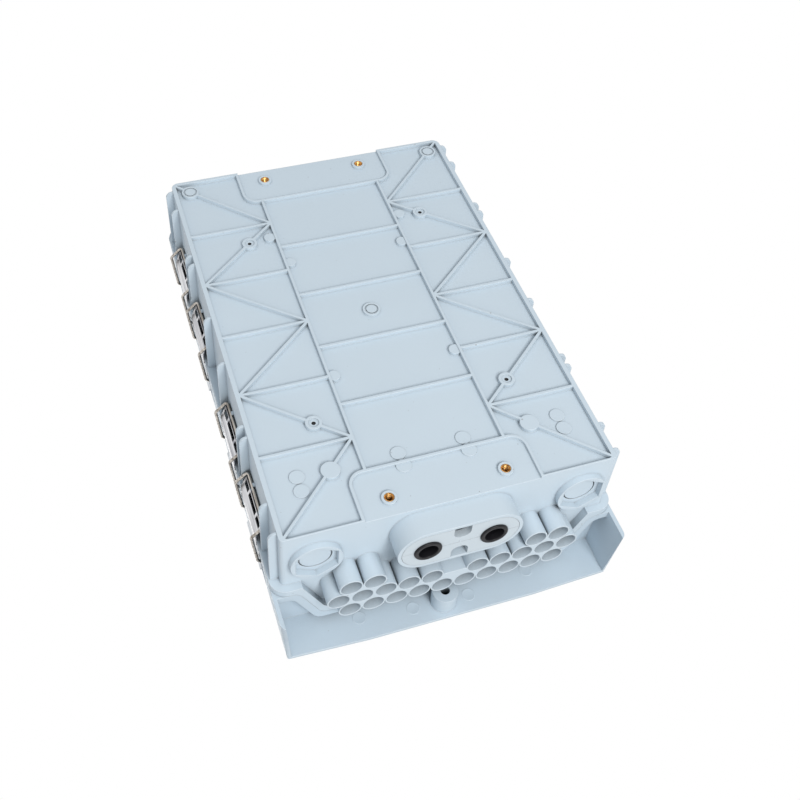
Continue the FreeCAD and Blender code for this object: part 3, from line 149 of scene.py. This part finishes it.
# Dust: a few small dark specks and pale lint, far apart.
dust, dust_in, dust_out = shader_group(
    "dust_specks",
    [("Colour", "NodeSocketColor", (0.6, 0.7, 0.75, 1)), ("Amount", "NodeSocketFloat", 0.5)],
    [("Colour", "NodeSocketColor")],
)
dust_place = add(dust, "ShaderNodeTexCoord").outputs["Object"]
dust_cells = add(dust, "ShaderNodeTexVoronoi", {"Vector": dust_place}, Scale=170.0)
dust_pick = add(dust, "ShaderNodeSeparateColor", {"Color": dust_cells.outputs["Color"]})
dust_size = maths(dust, "MULTIPLY", dust_pick.outputs["Green"], 0.12)
dust_near = maths(dust, "LESS_THAN", dust_cells.outputs["Distance"], dust_size)
dust_few = maths(dust, "GREATER_THAN", dust_pick.outputs["Red"], 0.72)
dust_mask = maths(dust, "MULTIPLY", dust_near, dust_few)
dust_level = maths(dust, "MULTIPLY", dust_mask, dust_in.outputs["Amount"])
dust_mix = add(dust, "ShaderNodeMix", data_type="RGBA", blend_type="MIX")
dust.links.new(dust_level, dust_mix.inputs[0])
dust.links.new(dust_in.outputs["Colour"], dust_mix.inputs[6])
dust_mix.inputs[7].default_value = (0.22, 0.2, 0.18, 1)
dust.links.new(dust_mix.outputs[2], dust_out.inputs["Colour"])

# Painted shade: creases are darkened by their ambient occlusion, from none on open faces to dark in narrow
# gaps and deep holes.
crease, crease_in, crease_out = shader_group(
    "painted_crease_shade",
    [("Colour", "NodeSocketColor", (0.6, 0.7, 0.75, 1)), ("Openness", "NodeSocketFloat", 1.0)],
    [("Colour", "NodeSocketColor")],
)
crease_ramp = add(crease, "ShaderNodeValToRGB", {"Fac": crease_in.outputs["Openness"]})
crease_ramp.color_ramp.elements[0].color = (0.2, 0.2, 0.2, 1)
crease_ramp.color_ramp.elements[1].position = 0.96
for crease_open, crease_level in ((0.12, 0.34), (0.25, 0.49), (0.5, 0.8), (0.72, 0.93)):
    crease_stop = crease_ramp.color_ramp.elements.new(crease_open)
    crease_stop.color = (crease_level, crease_level, crease_level, 1)
crease_mix = add(
    crease, "ShaderNodeVectorMath", {0: crease_in.outputs["Colour"], 1: crease_ramp.outputs["Color"]},
    operation="MULTIPLY",
)
crease.links.new(crease_mix.outputs[0], crease_out.inputs["Colour"])


def moulding(name, colour, cloud=0.05, grain_size=900.0, roughness=0.45, edge=0.0006, paler=0.4, specks=0.5):
    """Make a moulded or painted finish with grain, dust, a painted highlight on edges and painted shade in
    creases.
    """
    material = bpy.data.materials.new(name)
    material.use_nodes = True
    tree = material.node_tree
    shader = tree.nodes["Principled BSDF"]
    skin = add(tree, "ShaderNodeGroup", node_tree=grain)
    skin.inputs["Colour"].default_value = (*colour, 1)
    skin.inputs["Cloud"].default_value = cloud
    skin.inputs["Grain Size"].default_value = grain_size
    skin.inputs["Roughness"].default_value = roughness
    soft_edge = add(tree, "ShaderNodeBevel", samples=6, Radius=edge)
    # Painted highlight: the edges found by the bevel are painted paler.
    edge_highlighted = add(tree, "ShaderNodeGroup", node_tree=edge_highlight_group)
    tree.links.new(skin.outputs["Colour"], edge_highlighted.inputs["Colour"])
    tree.links.new(soft_edge.outputs["Normal"], edge_highlighted.inputs["Soft Normal"])
    edge_highlighted.inputs["Paler"].default_value = paler
    dusted = add(tree, "ShaderNodeGroup", node_tree=dust)
    tree.links.new(edge_highlighted.outputs["Colour"], dusted.inputs["Colour"])
    dusted.inputs["Amount"].default_value = specks
    # Painted shade: the colour is darkened where ambient occlusion finds creases, narrow gaps and hollows.
    nearby = add(tree, "ShaderNodeAmbientOcclusion", samples=12, Distance=0.0024)
    around = add(tree, "ShaderNodeAmbientOcclusion", samples=8, Distance=0.022)
    hollow = maths(tree, "MULTIPLY", around.outputs["AO"], 1.6, clamp=True)
    openness = maths(tree, "MINIMUM", nearby.outputs["AO"], hollow)
    shaded = add(tree, "ShaderNodeGroup", node_tree=crease)
    tree.links.new(dusted.outputs["Colour"], shaded.inputs["Colour"])
    tree.links.new(openness, shaded.inputs["Openness"])
    relief = add(
        tree, "ShaderNodeBump", {"Height": skin.outputs["Height"], "Normal": soft_edge.outputs["Normal"]},
        Strength=0.08, Distance=0.0003,
    )
    tree.links.new(shaded.outputs["Colour"], shader.inputs["Base Color"])
    tree.links.new(skin.outputs["Roughness"], shader.inputs["Roughness"])
    tree.links.new(relief.outputs["Normal"], shader.inputs["Normal"])
    return material


def dress(node, material):
    """Give a carried-over solid its finish."""
    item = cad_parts[node]
    item.data.materials.clear()
    item.data.materials.append(material)


body_plastic = moulding("body_plastic", (0.56, 0.645, 0.715))
dress("base_box", body_plastic)
dress("base_hinges", body_plastic)

# Mounting inserts: four brass bushes moulded into the pads, turned on a lathe and tapped for a machine screw.
# Each is a short sleeve with a chamfered mouth, and its thread shows as bright and dark rings in the bore.


def turned(shape, profile_at, centre, along, steps=48):
    """Turn a closed profile of (radius, distance) points about a line and add it to the shape."""
    along = Vector(along)
    across = along.orthogonal().normalized()
    other = along.cross(across)
    rings = []
    for step in range(steps):
        angle = 2 * math.pi * step / steps
        outward = across * math.cos(angle) + other * math.sin(angle)
        rings.append([
            shape.verts.new(Vector(centre) + outward * radius + along * distance)
            for radius, distance in profile_at(angle)
        ])
    for first, second in zip(rings, rings[1:] + rings[:1]):
        for index in range(len(first)):
            after = (index + 1) % len(first)
            shape.faces.new((first[index], first[after], second[after], second[index]))


def finished(name, shape, material, body, replaced=(), sharp=40):
    """Turn a shape into a piece with smooth faces and crisp edges that rides on a body."""
    bmesh.ops.remove_doubles(shape, verts=shape.verts, dist=1e-7)
    bmesh.ops.recalc_face_normals(shape, faces=shape.faces)
    mesh = bpy.data.meshes.new(name)
    shape.to_mesh(mesh)
    shape.free()
    mesh.polygons.foreach_set("use_smooth", [True] * len(mesh.polygons))
    mesh.set_sharp_from_angle(angle=math.radians(sharp))
    mesh.materials.append(material)
    piece = bpy.data.objects.new(name, mesh)
    bpy.context.scene.collection.objects.link(piece)
    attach(piece, body)
    if replaced:
        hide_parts(*replaced)


bush_outer = 0.00378
bush_bore = 0.0025
bush_length = 0.0098
bush_sunk = 0.0001
bush_shoulder = 0.0004
bush_chamfer = 0.0003
mouth_chamfer = 0.0007
thread_pitch = 0.001
thread_depth = 0.0005
thread_start = 0.0007
thread_turns = 9
thread_steps = 6


def bush_profile(angle):
    """Half section of a tapped bush at one angle: the outside wall, the mouth and the thread."""
    points = [(bush_outer, bush_length), (bush_outer, bush_shoulder), (bush_outer - bush_chamfer, bush_sunk),
              (bush_bore + mouth_chamfer, bush_sunk)]
    for step in range(thread_turns * thread_steps):
        depth = thread_start + step * thread_pitch / thread_steps
        turn = depth / thread_pitch - angle / (2 * math.pi)
        points.append((bush_bore + thread_depth * abs(2 * (turn % 1) - 1), depth))
    return points + [(bush_bore, bush_length)]


bushes = bmesh.new()
bush_low, bush_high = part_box("mount_inserts")
bush_seat = 0.0038
for bush_x in (bush_low.x + bush_seat, bush_high.x - bush_seat):
    for bush_z in (bush_low.z + bush_seat, bush_high.z - bush_seat):
        turned(bushes, bush_profile, (bush_x, bush_high.y, bush_z), (0, -1, 0), steps=40)


def metal(name, dark, light, roughness, scale, stretch=(1, 1, 1)):
    """Make a worn metal whose colour and gloss vary in fine streaks, which some finishes use as painted
    reflection.
    """
    material = bpy.data.materials.new(name)
    material.use_nodes = True
    tree = material.node_tree
    shader = tree.nodes["Principled BSDF"]
    shader.inputs["Metallic"].default_value = 1.0
    place = add(tree, "ShaderNodeTexCoord")
    drawn = add(tree, "ShaderNodeMapping", {"Vector": place.outputs["Object"]}, Scale=stretch)
    streak = add(tree, "ShaderNodeTexNoise", {"Vector": drawn.outputs["Vector"]}, Scale=scale, Detail=4.0)
    tint = add(tree, "ShaderNodeValToRGB", {"Fac": streak.outputs["Fac"]})
    tint.color_ramp.elements[0].position = 0.3
    tint.color_ramp.elements[0].color = (*dark, 1)
    tint.color_ramp.elements[1].position = 0.7
    tint.color_ramp.elements[1].color = (*light, 1)
    tree.links.new(tint.outputs["Color"], shader.inputs["Base Color"])
    dull = maths(tree, "MULTIPLY_ADD", streak.outputs["Fac"], 0.2, roughness - 0.1)
    tree.links.new(dull, shader.inputs["Roughness"])
    soft_edge = add(tree, "ShaderNodeBevel", samples=4, Radius=0.0002)
    relief = add(
        tree, "ShaderNodeBump", {"Height": streak.outputs["Fac"], "Normal": soft_edge.outputs["Normal"]},
        Strength=0.05, Distance=0.0002,
    )
    tree.links.new(relief.outputs["Normal"], shader.inputs["Normal"])
    return material


brass = metal("turned_brass", (0.28, 0.13, 0.04), (0.78, 0.48, 0.18), roughness=0.3, scale=700.0)
finished("tapped_bushes", bushes, brass, "base", ["mount_inserts"])

# Screw pilots: four blind holes in the bosses on the ribs, moulded for fixing screws.
# A dark cup of painted shade sits at the end of each hole and stands for its unlit depth, which looks deep
# and black.
pilot_painted_shade = moulding(
    "pilot_painted_shade", (0.03, 0.032, 0.035), cloud=0.2, roughness=0.6, edge=0.0002, paler=0.02, specks=0.1
)
pilot_across = 0.075
pilot_along = 0.09705


def pilot_profile(angle):
    """Half section of the painted-shade cup at the end of a pilot hole."""
    return [(0.0, 0.0023), (0.0011, 0.0023), (0.00142, 0.0012), (0.00157, 0.0012), (0.00157, 0.00248),
            (0.0, 0.00248)]


pilots = bmesh.new()
for pilot_x in (-pilot_across, pilot_across):
    for pilot_z in (-pilot_along, pilot_along):
        turned(pilots, pilot_profile, (pilot_x, 0, pilot_z), (0, -1, 0), steps=24)
finished("pilot_hole_painted_shade", pilots, pilot_painted_shade, "base")

# Hinge pins: two drawn steel rods, pressed into the base's barrels so that the lid's knuckles turn on them.
# They are bright stainless with a drawn finish along their length, and their dark and light streaks are
# partly painted reflection.
steel = metal(
    "drawn_steel_and_painted_reflection", (0.15, 0.13, 0.11), (0.68, 0.64, 0.59), roughness=0.2, scale=700.0, stretch=(1, 1, 0.06)
)
dress("hinge_pins", steel)

# Entry plate: two halves of slightly greyer plastic that close round the grommets and snap into the collar.
# A small moulding gate is left at the middle of the seam, where the two halves meet.
plate_plastic = moulding("plate_plastic", (0.57, 0.635, 0.685), roughness=0.5, paler=0.2, specks=0.4)
dress("entry_plate_upper", plate_plastic)
dress("entry_plate_lower", plate_plastic)
upper_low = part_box("entry_plate_upper")[0]
gate_aside = 0.0006
gate_above_seam = 0.0012


def gate_profile(angle):
    """Half section of the gate's trimmed stub."""
    return [(0.0, -0.0004), (0.0011, -0.0004), (0.0011, 0.0001), (0.0008, 0.0004), (0.0005, 0.00015),
            (0.0, 0.00015)]


gate_stub = bmesh.new()
gate_place = (gate_aside, upper_low.y + gate_above_seam, upper_low.z)
turned(gate_stub, gate_profile, gate_place, (0, 0, -1), steps=20)
finished("plate_gate", gate_stub, plate_plastic, "base")

# Grommets: two black rubber sleeves with a rounded lip on each side of the entry plate, moulded in one piece.
# They are stretched into the plate before it goes in, and seal on the feeder cables.
rubber = moulding("rubber", (0.007, 0.007, 0.009), cloud=0.2, roughness=0.42, paler=0.01, specks=0.2)
rubber.node_tree.nodes["Principled BSDF"].inputs["Specular IOR Level"].default_value = 0.25


def eased(points, radius, count=5):
    """Round the corners of a closed path with short curves."""
    path = []
    for before, corner, after in zip(points[-1:] + points[:-1], points, points[1:] + points[:1]):
        back = before - corner
        ahead = after - corner
        reach = min(radius / math.tan(back.angle(ahead) / 2), 0.45 * back.length, 0.45 * ahead.length)
        start = corner + back.normalized() * reach
        stop = corner + ahead.normalized() * reach
        for step in range(count + 1):
            part = step / count
            path.append(start * (1 - part) ** 2 + corner * 2 * part * (1 - part) + stop * part ** 2)
    return path


grommet_low, grommet_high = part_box("entry_grommets")
grommet_lip = 0.0104
grommet_waist = 0.009
grommet_bore = 0.0072
bore_narrowing = 0.0005
lip_thick = 0.0016
lip_undercut = 0.0001
lip_round = 0.0007
outer_slope = 0.0006
inner_slope = 0.0005
grommet_span = grommet_high.z - grommet_low.z
sleeve = eased([
    Vector((grommet_bore, 0)), Vector((grommet_lip - outer_slope, 0)),
    Vector((grommet_lip, lip_thick - lip_undercut)), Vector((grommet_waist, lip_thick)),
    Vector((grommet_waist, grommet_span - lip_thick)), Vector((grommet_lip, grommet_span - lip_thick)),
    Vector((grommet_lip - inner_slope, grommet_span)), Vector((grommet_bore, grommet_span)),
    Vector((grommet_bore - bore_narrowing, grommet_span / 2)),
], lip_round, count=4)
sleeves = bmesh.new()
for grommet_x in (grommet_low.x + grommet_lip, grommet_high.x - grommet_lip):
    grommet_foot = (grommet_x, (grommet_low.y + grommet_high.y) / 2, grommet_low.z)
    turned(sleeves, lambda angle: sleeve, grommet_foot, (0, 0, 1), steps=56)
finished("cable_grommets", sleeves, rubber, "base", ["entry_grommets"], sharp=60)

# Cable clamps: two saddles of white plastic that hold the feeder cables just inside the entry.
# Each is screwed to the floor of the base by a pan-head screw on either side.
tray_plastic = moulding("tray_plastic", (0.7, 0.7, 0.68), roughness=0.4, specks=0.2)
dress("cable_clamps", tray_plastic)
screw_head = 0.003
screw_shank = 0.0015
head_thick = 0.002
head_ease = 0.0006
head_crown = 0.0001
tip_ease = 0.0006
cross_reach = 0.0019
cross_half = 0.00045
cross_depth = 0.0012
cross_taper = 0.55


def pan_screws(name, places, seat, length, replaced):
    """Make pan-head screws with a cross recess, all heads on one plane that faces the lid."""
    shape = bmesh.new()
    corners = [(cross_reach, cross_half), (cross_half, cross_half), (cross_half, cross_reach)]
    outline = []
    for quarter in range(4):
        turn = Matrix.Rotation(quarter * math.pi / 2, 2)
        outline += [turn @ Vector(corner) for corner in corners]
    head_face = seat - head_thick
    for x, z in places:
        lowest = [
            shape.verts.new((x + p.x * cross_taper, head_face + cross_depth, z + p.y * cross_taper))
            for p in outline
        ]
        mouth = [shape.verts.new((x + p.x, head_face, z + p.y)) for p in outline]
        rim = []
        for p in outline:
            edge = p.normalized() * (screw_head - head_ease)
            rim.append(shape.verts.new((x + edge.x, head_face + head_crown, z + edge.y)))
        shape.faces.new(lowest)
        rows = [lowest, mouth, rim]
        for radius, depth in ((screw_head, head_thick - head_ease), (screw_head, 0.0), (screw_shank, 0.0),
                              (screw_shank, -length + tip_ease), (screw_shank - tip_ease, -length)):
            rows.append([
                shape.verts.new((x + p.normalized().x * radius, seat - depth, z + p.normalized().y * radius))
                for p in outline
            ])
        for lower, upper in zip(rows, rows[1:]):
            for index in range(len(outline)):
                after = (index + 1) % len(outline)
                shape.faces.new((lower[index], lower[after], upper[after], upper[index]))
        shape.faces.new(rows[-1])
    finished(name, shape, steel, "base", replaced, sharp=30)


clamp_low, clamp_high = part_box("clamp_screws")
clamp_in = 0.0109
clamp_out = clamp_high.x - screw_head
clamp_shank = 0.003
clamp_line = (clamp_low.z + clamp_high.z) / 2
pan_screws(
    "clamp_pan_screws", [(x, clamp_line) for x in (-clamp_out, -clamp_in, clamp_in, clamp_out)],
    clamp_low.y + head_thick, clamp_shank, ["clamp_screws"],
)

# Splice tray: a shallow white plastic tray for the fused fibres, with a clear snap-on cover over it.
# Four screws hold it to posts on the floor of the base, and the cover is thin clear sheet.
dress("splice_tray", tray_plastic)
cover_clear = moulding("cover_clear", (0.86, 0.9, 0.92), cloud=0.02, roughness=0.12, edge=0.0003, specks=0.1)
cover_clear.node_tree.nodes["Principled BSDF"].inputs["Alpha"].default_value = 0.35
dress("tray_cover", cover_clear)
tray_low, tray_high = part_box("tray_screws")
pan_screws(
    "tray_pan_screws",
    [(x, z) for x in (tray_low.x + screw_head, tray_high.x - screw_head)
     for z in (tray_low.z + screw_head, tray_high.z - screw_head)],
    tray_low.y + head_thick, tray_high.y - tray_low.y - head_thick, ["tray_screws"],
)

# Adapter panel: a folded steel sheet, painted pale grey, that stands across the box with the adapters in it.
# Two screws through its foot hold it to the floor of the base.
panel_paint = moulding(
    "panel_paint", (0.52, 0.54, 0.55), grain_size=1500.0, roughness=0.38, edge=0.0004, specks=0.2
)
dress("adapter_panel", panel_paint)
panel_low, panel_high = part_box("panel_screws")
pan_screws(
    "panel_pan_screws",
    [(x, (panel_low.z + panel_high.z) / 2) for x in (panel_low.x + screw_head, panel_high.x - screw_head)],
    panel_low.y + head_thick, panel_high.y - panel_low.y - head_thick, ["panel_screws"],
)

# Fibre adapters: rows of glossy blue couplers clipped into the panel, moulded in two halves and welded.
# A pigtail plugs into the back of each and a drop cable's connector into the front.
adapter_plastic = moulding(
    "adapter_plastic", (0.02, 0.13, 0.42), roughness=0.25, edge=0.0004, paler=0.05, specks=0.1
)
dress("fibre_adapters", adapter_plastic)

# Lid: a tapered tray of the same plastic that runs past the tubes as a rain hood; its colour is a shade
# darker and bluer, partly its own tone and partly painted shade over the hood.
# Round ejector marks are left on the hood's floor where the tool's pins pushed the moulding out.
lid_plastic = moulding("lid_plastic", (0.525, 0.615, 0.69))
dress("lid", lid_plastic)
dress("lid_hinges", lid_plastic)
lid_wall = 0.003
hood_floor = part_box("lid")[0].y + lid_wall
mark_radius = 0.0052


def mark_profile(angle):
    """Half section of a shallow round ejector mark with a raised rim."""
    return [(0.0, -0.0004), (mark_radius, -0.0004), (mark_radius, 0.00005), (mark_radius - 0.0003, 0.00015),
            (mark_radius - 0.0006, 0.00006), (0.0, 0.00006)]


marks = bmesh.new()
for mark_x, mark_z in ((0.027, -0.201), (-0.017, -0.202), (-0.067, -0.195), (0.068, -0.197)):
    turned(marks, mark_profile, (mark_x, hood_floor, mark_z), (0, 1, 0), steps=40)
finished("hood_ejector_marks", marks, lid_plastic, "lid")

# Lid seal: one cord of black foam rubber laid in a groove round the lid's rim, joined with a drop of glue.
# It follows the dip at the cable end and is squeezed slightly when the latches close.
dress("lid_seal", rubber)

# Latch levers: four pressed steel handles, each on a pin across its bay in the lid's latch side.
# The sheet is bright zinc-plated steel, and the foot of the lever is curled round the wire bail.
plated = metal(
    "plated_sheet", (0.42, 0.45, 0.48), (0.72, 0.75, 0.78), roughness=0.32, scale=260.0, stretch=(1, 0.25, 1)
)
dress("latch_pins", steel)
for number in range(1, 5):
    dress("latch_lever_%d" % number, plated)

# Keepers: strips of bright pressed sheet that spread from the catches and lap over the flange's edge.
# Each has three windows punched along its upper edge, and black blocks of painted shade behind them stand for
# the dark gap at the wall.
# Its face is streaked dark and light along its length, partly fine rub marks where the bail is drawn across
# it, partly painted reflection.
rub_marks_and_reflection_sheet = metal(
    "rub_marks_and_reflection_sheet", (0.22, 0.23, 0.26), (0.84, 0.84, 0.86), roughness=0.3, scale=420.0, stretch=(1, 1, 0.05)
)
keeper_low, keeper_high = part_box("latch_keepers")
keeper_sheet = 0.0008
keeper_ends = (-0.0225, -0.0205, -0.0115, -0.0091, 0.0091, 0.0115, 0.0205, 0.0225)
keeper_windows = {(1, 1), (1, 3), (1, 5)}
keeper_drop = 0.0006
keeper_spread = 0.0115
keeper_bend = 0.0012
window_rows = (0.0, 0.06, 0.44, 0.9)
keeper_edge = Vector((keeper_low.x, keeper_high.y - keeper_drop))
keeper_corner = Vector((keeper_high.x - keeper_sheet, keeper_high.y - keeper_spread))
keeper_inside = [keeper_edge.lerp(keeper_corner, part) for part in window_rows]
keeper_inside += [
    keeper_corner - Vector((0, keeper_bend)), Vector((keeper_corner.x, (keeper_corner.y + keeper_low.y) / 2)),
    Vector((keeper_corner.x, keeper_low.y)),
]
keeper_outside = []
for index, point in enumerate(keeper_inside):
    run = keeper_inside[min(index + 1, len(keeper_inside) - 1)] - keeper_inside[max(index - 1, 0)]
    keeper_outside.append(point + Vector((-run.y, run.x)).normalized() * keeper_sheet)
wall_back = 0.0005
pad_drop = 0.0008
pad_height = 0.0155
pad_round = 0.0008
pad_play = 0.0002
pad_spans = ((-0.0215, -0.0116), (-0.009, 0.009), (0.0116, 0.0242))
keepers = bmesh.new()
pads = bmesh.new()
for number in range(1, 5):
    bail_low, bail_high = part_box("latch_bail_%d" % number)
    bail_z = (bail_low.z + bail_high.z) / 2
    faces = [
        [[keepers.verts.new((point.x, point.y, bail_z + end)) for end in keeper_ends] for point in side]
        for side in (keeper_inside, keeper_outside)
    ]
    cells = {
        (row, column) for row in range(len(keeper_inside) - 1) for column in range(len(keeper_ends) - 1)
    } - keeper_windows
    for row, column in sorted(cells):
        corners = [(row, column), (row, column + 1), (row + 1, column + 1), (row + 1, column)]
        for side in faces:
            keepers.faces.new([side[r][c] for r, c in corners])
        beside = [(row - 1, column), (row, column + 1), (row + 1, column), (row, column - 1)]
        for step, neighbour in enumerate(beside):
            if neighbour not in cells:
                first = corners[step]
                second = corners[(step + 1) % 4]
                keepers.faces.new([
                    faces[0][first[0]][first[1]], faces[0][second[0]][second[1]],
                    faces[1][second[0]][second[1]], faces[1][first[0]][first[1]],
                ])
    # Painted shade: a black block behind each keeper's windows, where the gap at the wall is dark.
    pad_back = bail_low.x - wall_back - pad_play
    pad_top = keeper_high.y - pad_drop
    pad_foot = pad_top - pad_height
    pad_face = keeper_low.x - pad_play
    shade_outline = [(pad_back, pad_top), (pad_face - pad_round, pad_top), (pad_face, pad_top - pad_round),
            (pad_face, pad_foot + pad_round), (pad_face - pad_round, pad_foot), (pad_back, pad_foot)]
    for shade_start, shade_stop in pad_spans:
        ends = [[pads.verts.new((x, y, bail_z + z)) for x, y in shade_outline] for z in (shade_start, shade_stop)]
        for index in range(len(shade_outline)):
            after = (index + 1) % len(shade_outline)
            pads.faces.new((ends[0][index], ends[0][after], ends[1][after], ends[1][index]))
        pads.faces.new(ends[0])
        pads.faces.new(ends[1])
finished("keeper_plates", keepers, rub_marks_and_reflection_sheet, "base", ["latch_keepers"], sharp=30)
finished("keeper_painted_shade", pads, rubber, "base")

# Wire bails: one bent loop of stainless wire for each lever, closed by a butt weld inside the lever's curl.
# The crossbar hooks over the base's catches and the arms bow out round the flange.
wire = 0.0012
arm_half = 0.0245
arm_bend = 0.0032
arm_bows = ((0.0, 0.0), (0.01, 0.0095), (0.0066, 0.0425))
arm_foot = 0.0018
for number in range(1, 5):
    bail_low, bail_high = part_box("latch_bail_%d" % number)
    bail_z = (bail_low.z + bail_high.z) / 2
    bar_x = bail_low.x + wire
    bar_y = bail_high.y - wire
    arm = [(bar_x + outward, bar_y - down) for outward, down in arm_bows]
    arm.append((bar_x + arm_foot, bail_low.y + wire))
    loop = [Vector((x, y, bail_z + arm_half)) for x, y in arm]
    loop += [Vector((x, y, bail_z - arm_half)) for x, y in reversed(arm)]
    bend = bpy.data.curves.new("bail_wire_%d" % number, "CURVE")
    bend.dimensions = "3D"
    bend.bevel_depth = wire
    bend.bevel_resolution = 4
    strand = bend.splines.new("POLY")
    route = eased(loop, arm_bend, count=6)
    strand.points.add(len(route) - 1)
    for point, stop in zip(strand.points, route):
        point.co = (*stop, 1)
    strand.use_cyclic_u = True
    strand.use_smooth = True
    bend.materials.append(steel)
    bail = bpy.data.objects.new("bail_wire_%d" % number, bend)
    bpy.context.scene.collection.objects.link(bail)
    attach(bail, "bail_%d" % number)
    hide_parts("latch_bail_%d" % number)

# Stage: a pale floor under the box, which the view from below looks through, and a white surround.
# Soft lamps light the back and the cable end from below and the lid from the front.
floor_gap = 0.0006
floor_level = cad_low.z - floor_gap
floor_mesh = bpy.data.meshes.new("floor")
floor_half = 4
floor_corners = ((-1, -1), (1, -1), (1, 1), (-1, 1))
floor_mesh.from_pydata(
    [(x * floor_half, y * floor_half, floor_level) for x, y in floor_corners], [], [(0, 1, 2, 3)]
)
floor = bpy.data.objects.new("floor", floor_mesh)
bpy.context.scene.collection.objects.link(floor)
floor_finish = bpy.data.materials.new("floor_finish")
floor_finish.use_nodes = True
floor_tree = floor_finish.node_tree
floor_shader = floor_tree.nodes["Principled BSDF"]
floor_shader.inputs["Base Color"].default_value = (0.86, 0.86, 0.86, 1)
floor_shader.inputs["Roughness"].default_value = 0.7
floor_clear = add(floor_tree, "ShaderNodeBsdfTransparent")
floor_side = add(floor_tree, "ShaderNodeNewGeometry")
floor_mix = add(
    floor_tree, "ShaderNodeMixShader",
    {0: floor_side.outputs["Backfacing"], 1: floor_shader.outputs["BSDF"], 2: floor_clear.outputs["BSDF"]},
)
floor_tree.links.new(floor_mix.outputs[0], floor_tree.nodes["Material Output"].inputs["Surface"])
floor_mesh.materials.append(floor_finish)
floor.visible_shadow = False
floor.visible_diffuse = False
floor.visible_glossy = False

world = bpy.data.worlds.new("surround")
bpy.context.scene.world = world
world.use_nodes = True
surround = world.node_tree
surround_ray = add(surround, "ShaderNodeLightPath")
seen_once = maths(
    surround, "MAXIMUM", surround_ray.outputs["Is Camera Ray"], surround_ray.outputs["Is Glossy Ray"]
)
seen = maths(surround, "MAXIMUM", seen_once, surround_ray.outputs["Is Transmission Ray"])
ambient = add(surround, "ShaderNodeBackground", Color=(0.94, 0.99, 1.03, 1), Strength=0.5)
white = add(surround, "ShaderNodeBackground", Color=(1, 1, 1, 1), Strength=1.0)
surround_mix = add(
    surround, "ShaderNodeMixShader",
    {0: seen, 1: ambient.outputs["Background"], 2: white.outputs["Background"]},
)
surround.links.new(surround_mix.outputs[0], surround.nodes["World Output"].inputs["Surface"])


def lamp(name, place, target, size, power, colour):
    """Hang a soft square lamp and point it at a place on the box."""
    data = bpy.data.lights.new(name, "AREA")
    data.size = size
    data.energy = power
    data.color = colour
    item = bpy.data.objects.new(name, data)
    item.location = place
    item.rotation_mode = "QUATERNION"
    item.rotation_quaternion = (Vector(target) - Vector(place)).to_track_quat("-Z", "Y")
    bpy.context.scene.collection.objects.link(item)


lamp("key_lamp", (-0.3, 2.3, -2.35), (0, 0, 0), size=1.2, power=78.0, colour=(1.0, 0.99, 0.97))
lamp("end_lamp", (1.3, 1.0, -2.4), (0, 0, -0.1), size=2.0, power=8.0, colour=(1.0, 0.995, 0.98))
lamp("front_lamp", (-0.3, -1.6, 0.7), (0, 0, 0), size=1.2, power=12.0, colour=(1.0, 0.99, 0.97))

# Camera: at the photograph's place, behind and below the box, looking up at its back and cable end.
# The lens and shift are those of the fitted photograph.
camera_data = bpy.data.cameras.new("camera")
camera_data.sensor_width = 36
camera_data.lens = 48.115
camera_data.shift_x = 0.04375
camera_data.shift_y = -0.05625
camera = bpy.data.objects.new("camera", camera_data)
bpy.context.scene.collection.objects.link(camera)
to_right = Vector((-0.95229, 0.03802, -0.30282))
upward = Vector((-0.20492, 0.65563, 0.72675))
backward = Vector((0.22617, 0.75413, -0.61656))
stance = Matrix((to_right, upward, backward)).transposed().to_4x4()
stance.translation = Vector((0.20329, 0.61082, -0.54553))
camera.matrix_world = stance
bpy.context.scene.camera = camera
bpy.context.scene.view_settings.view_transform = "Standard"
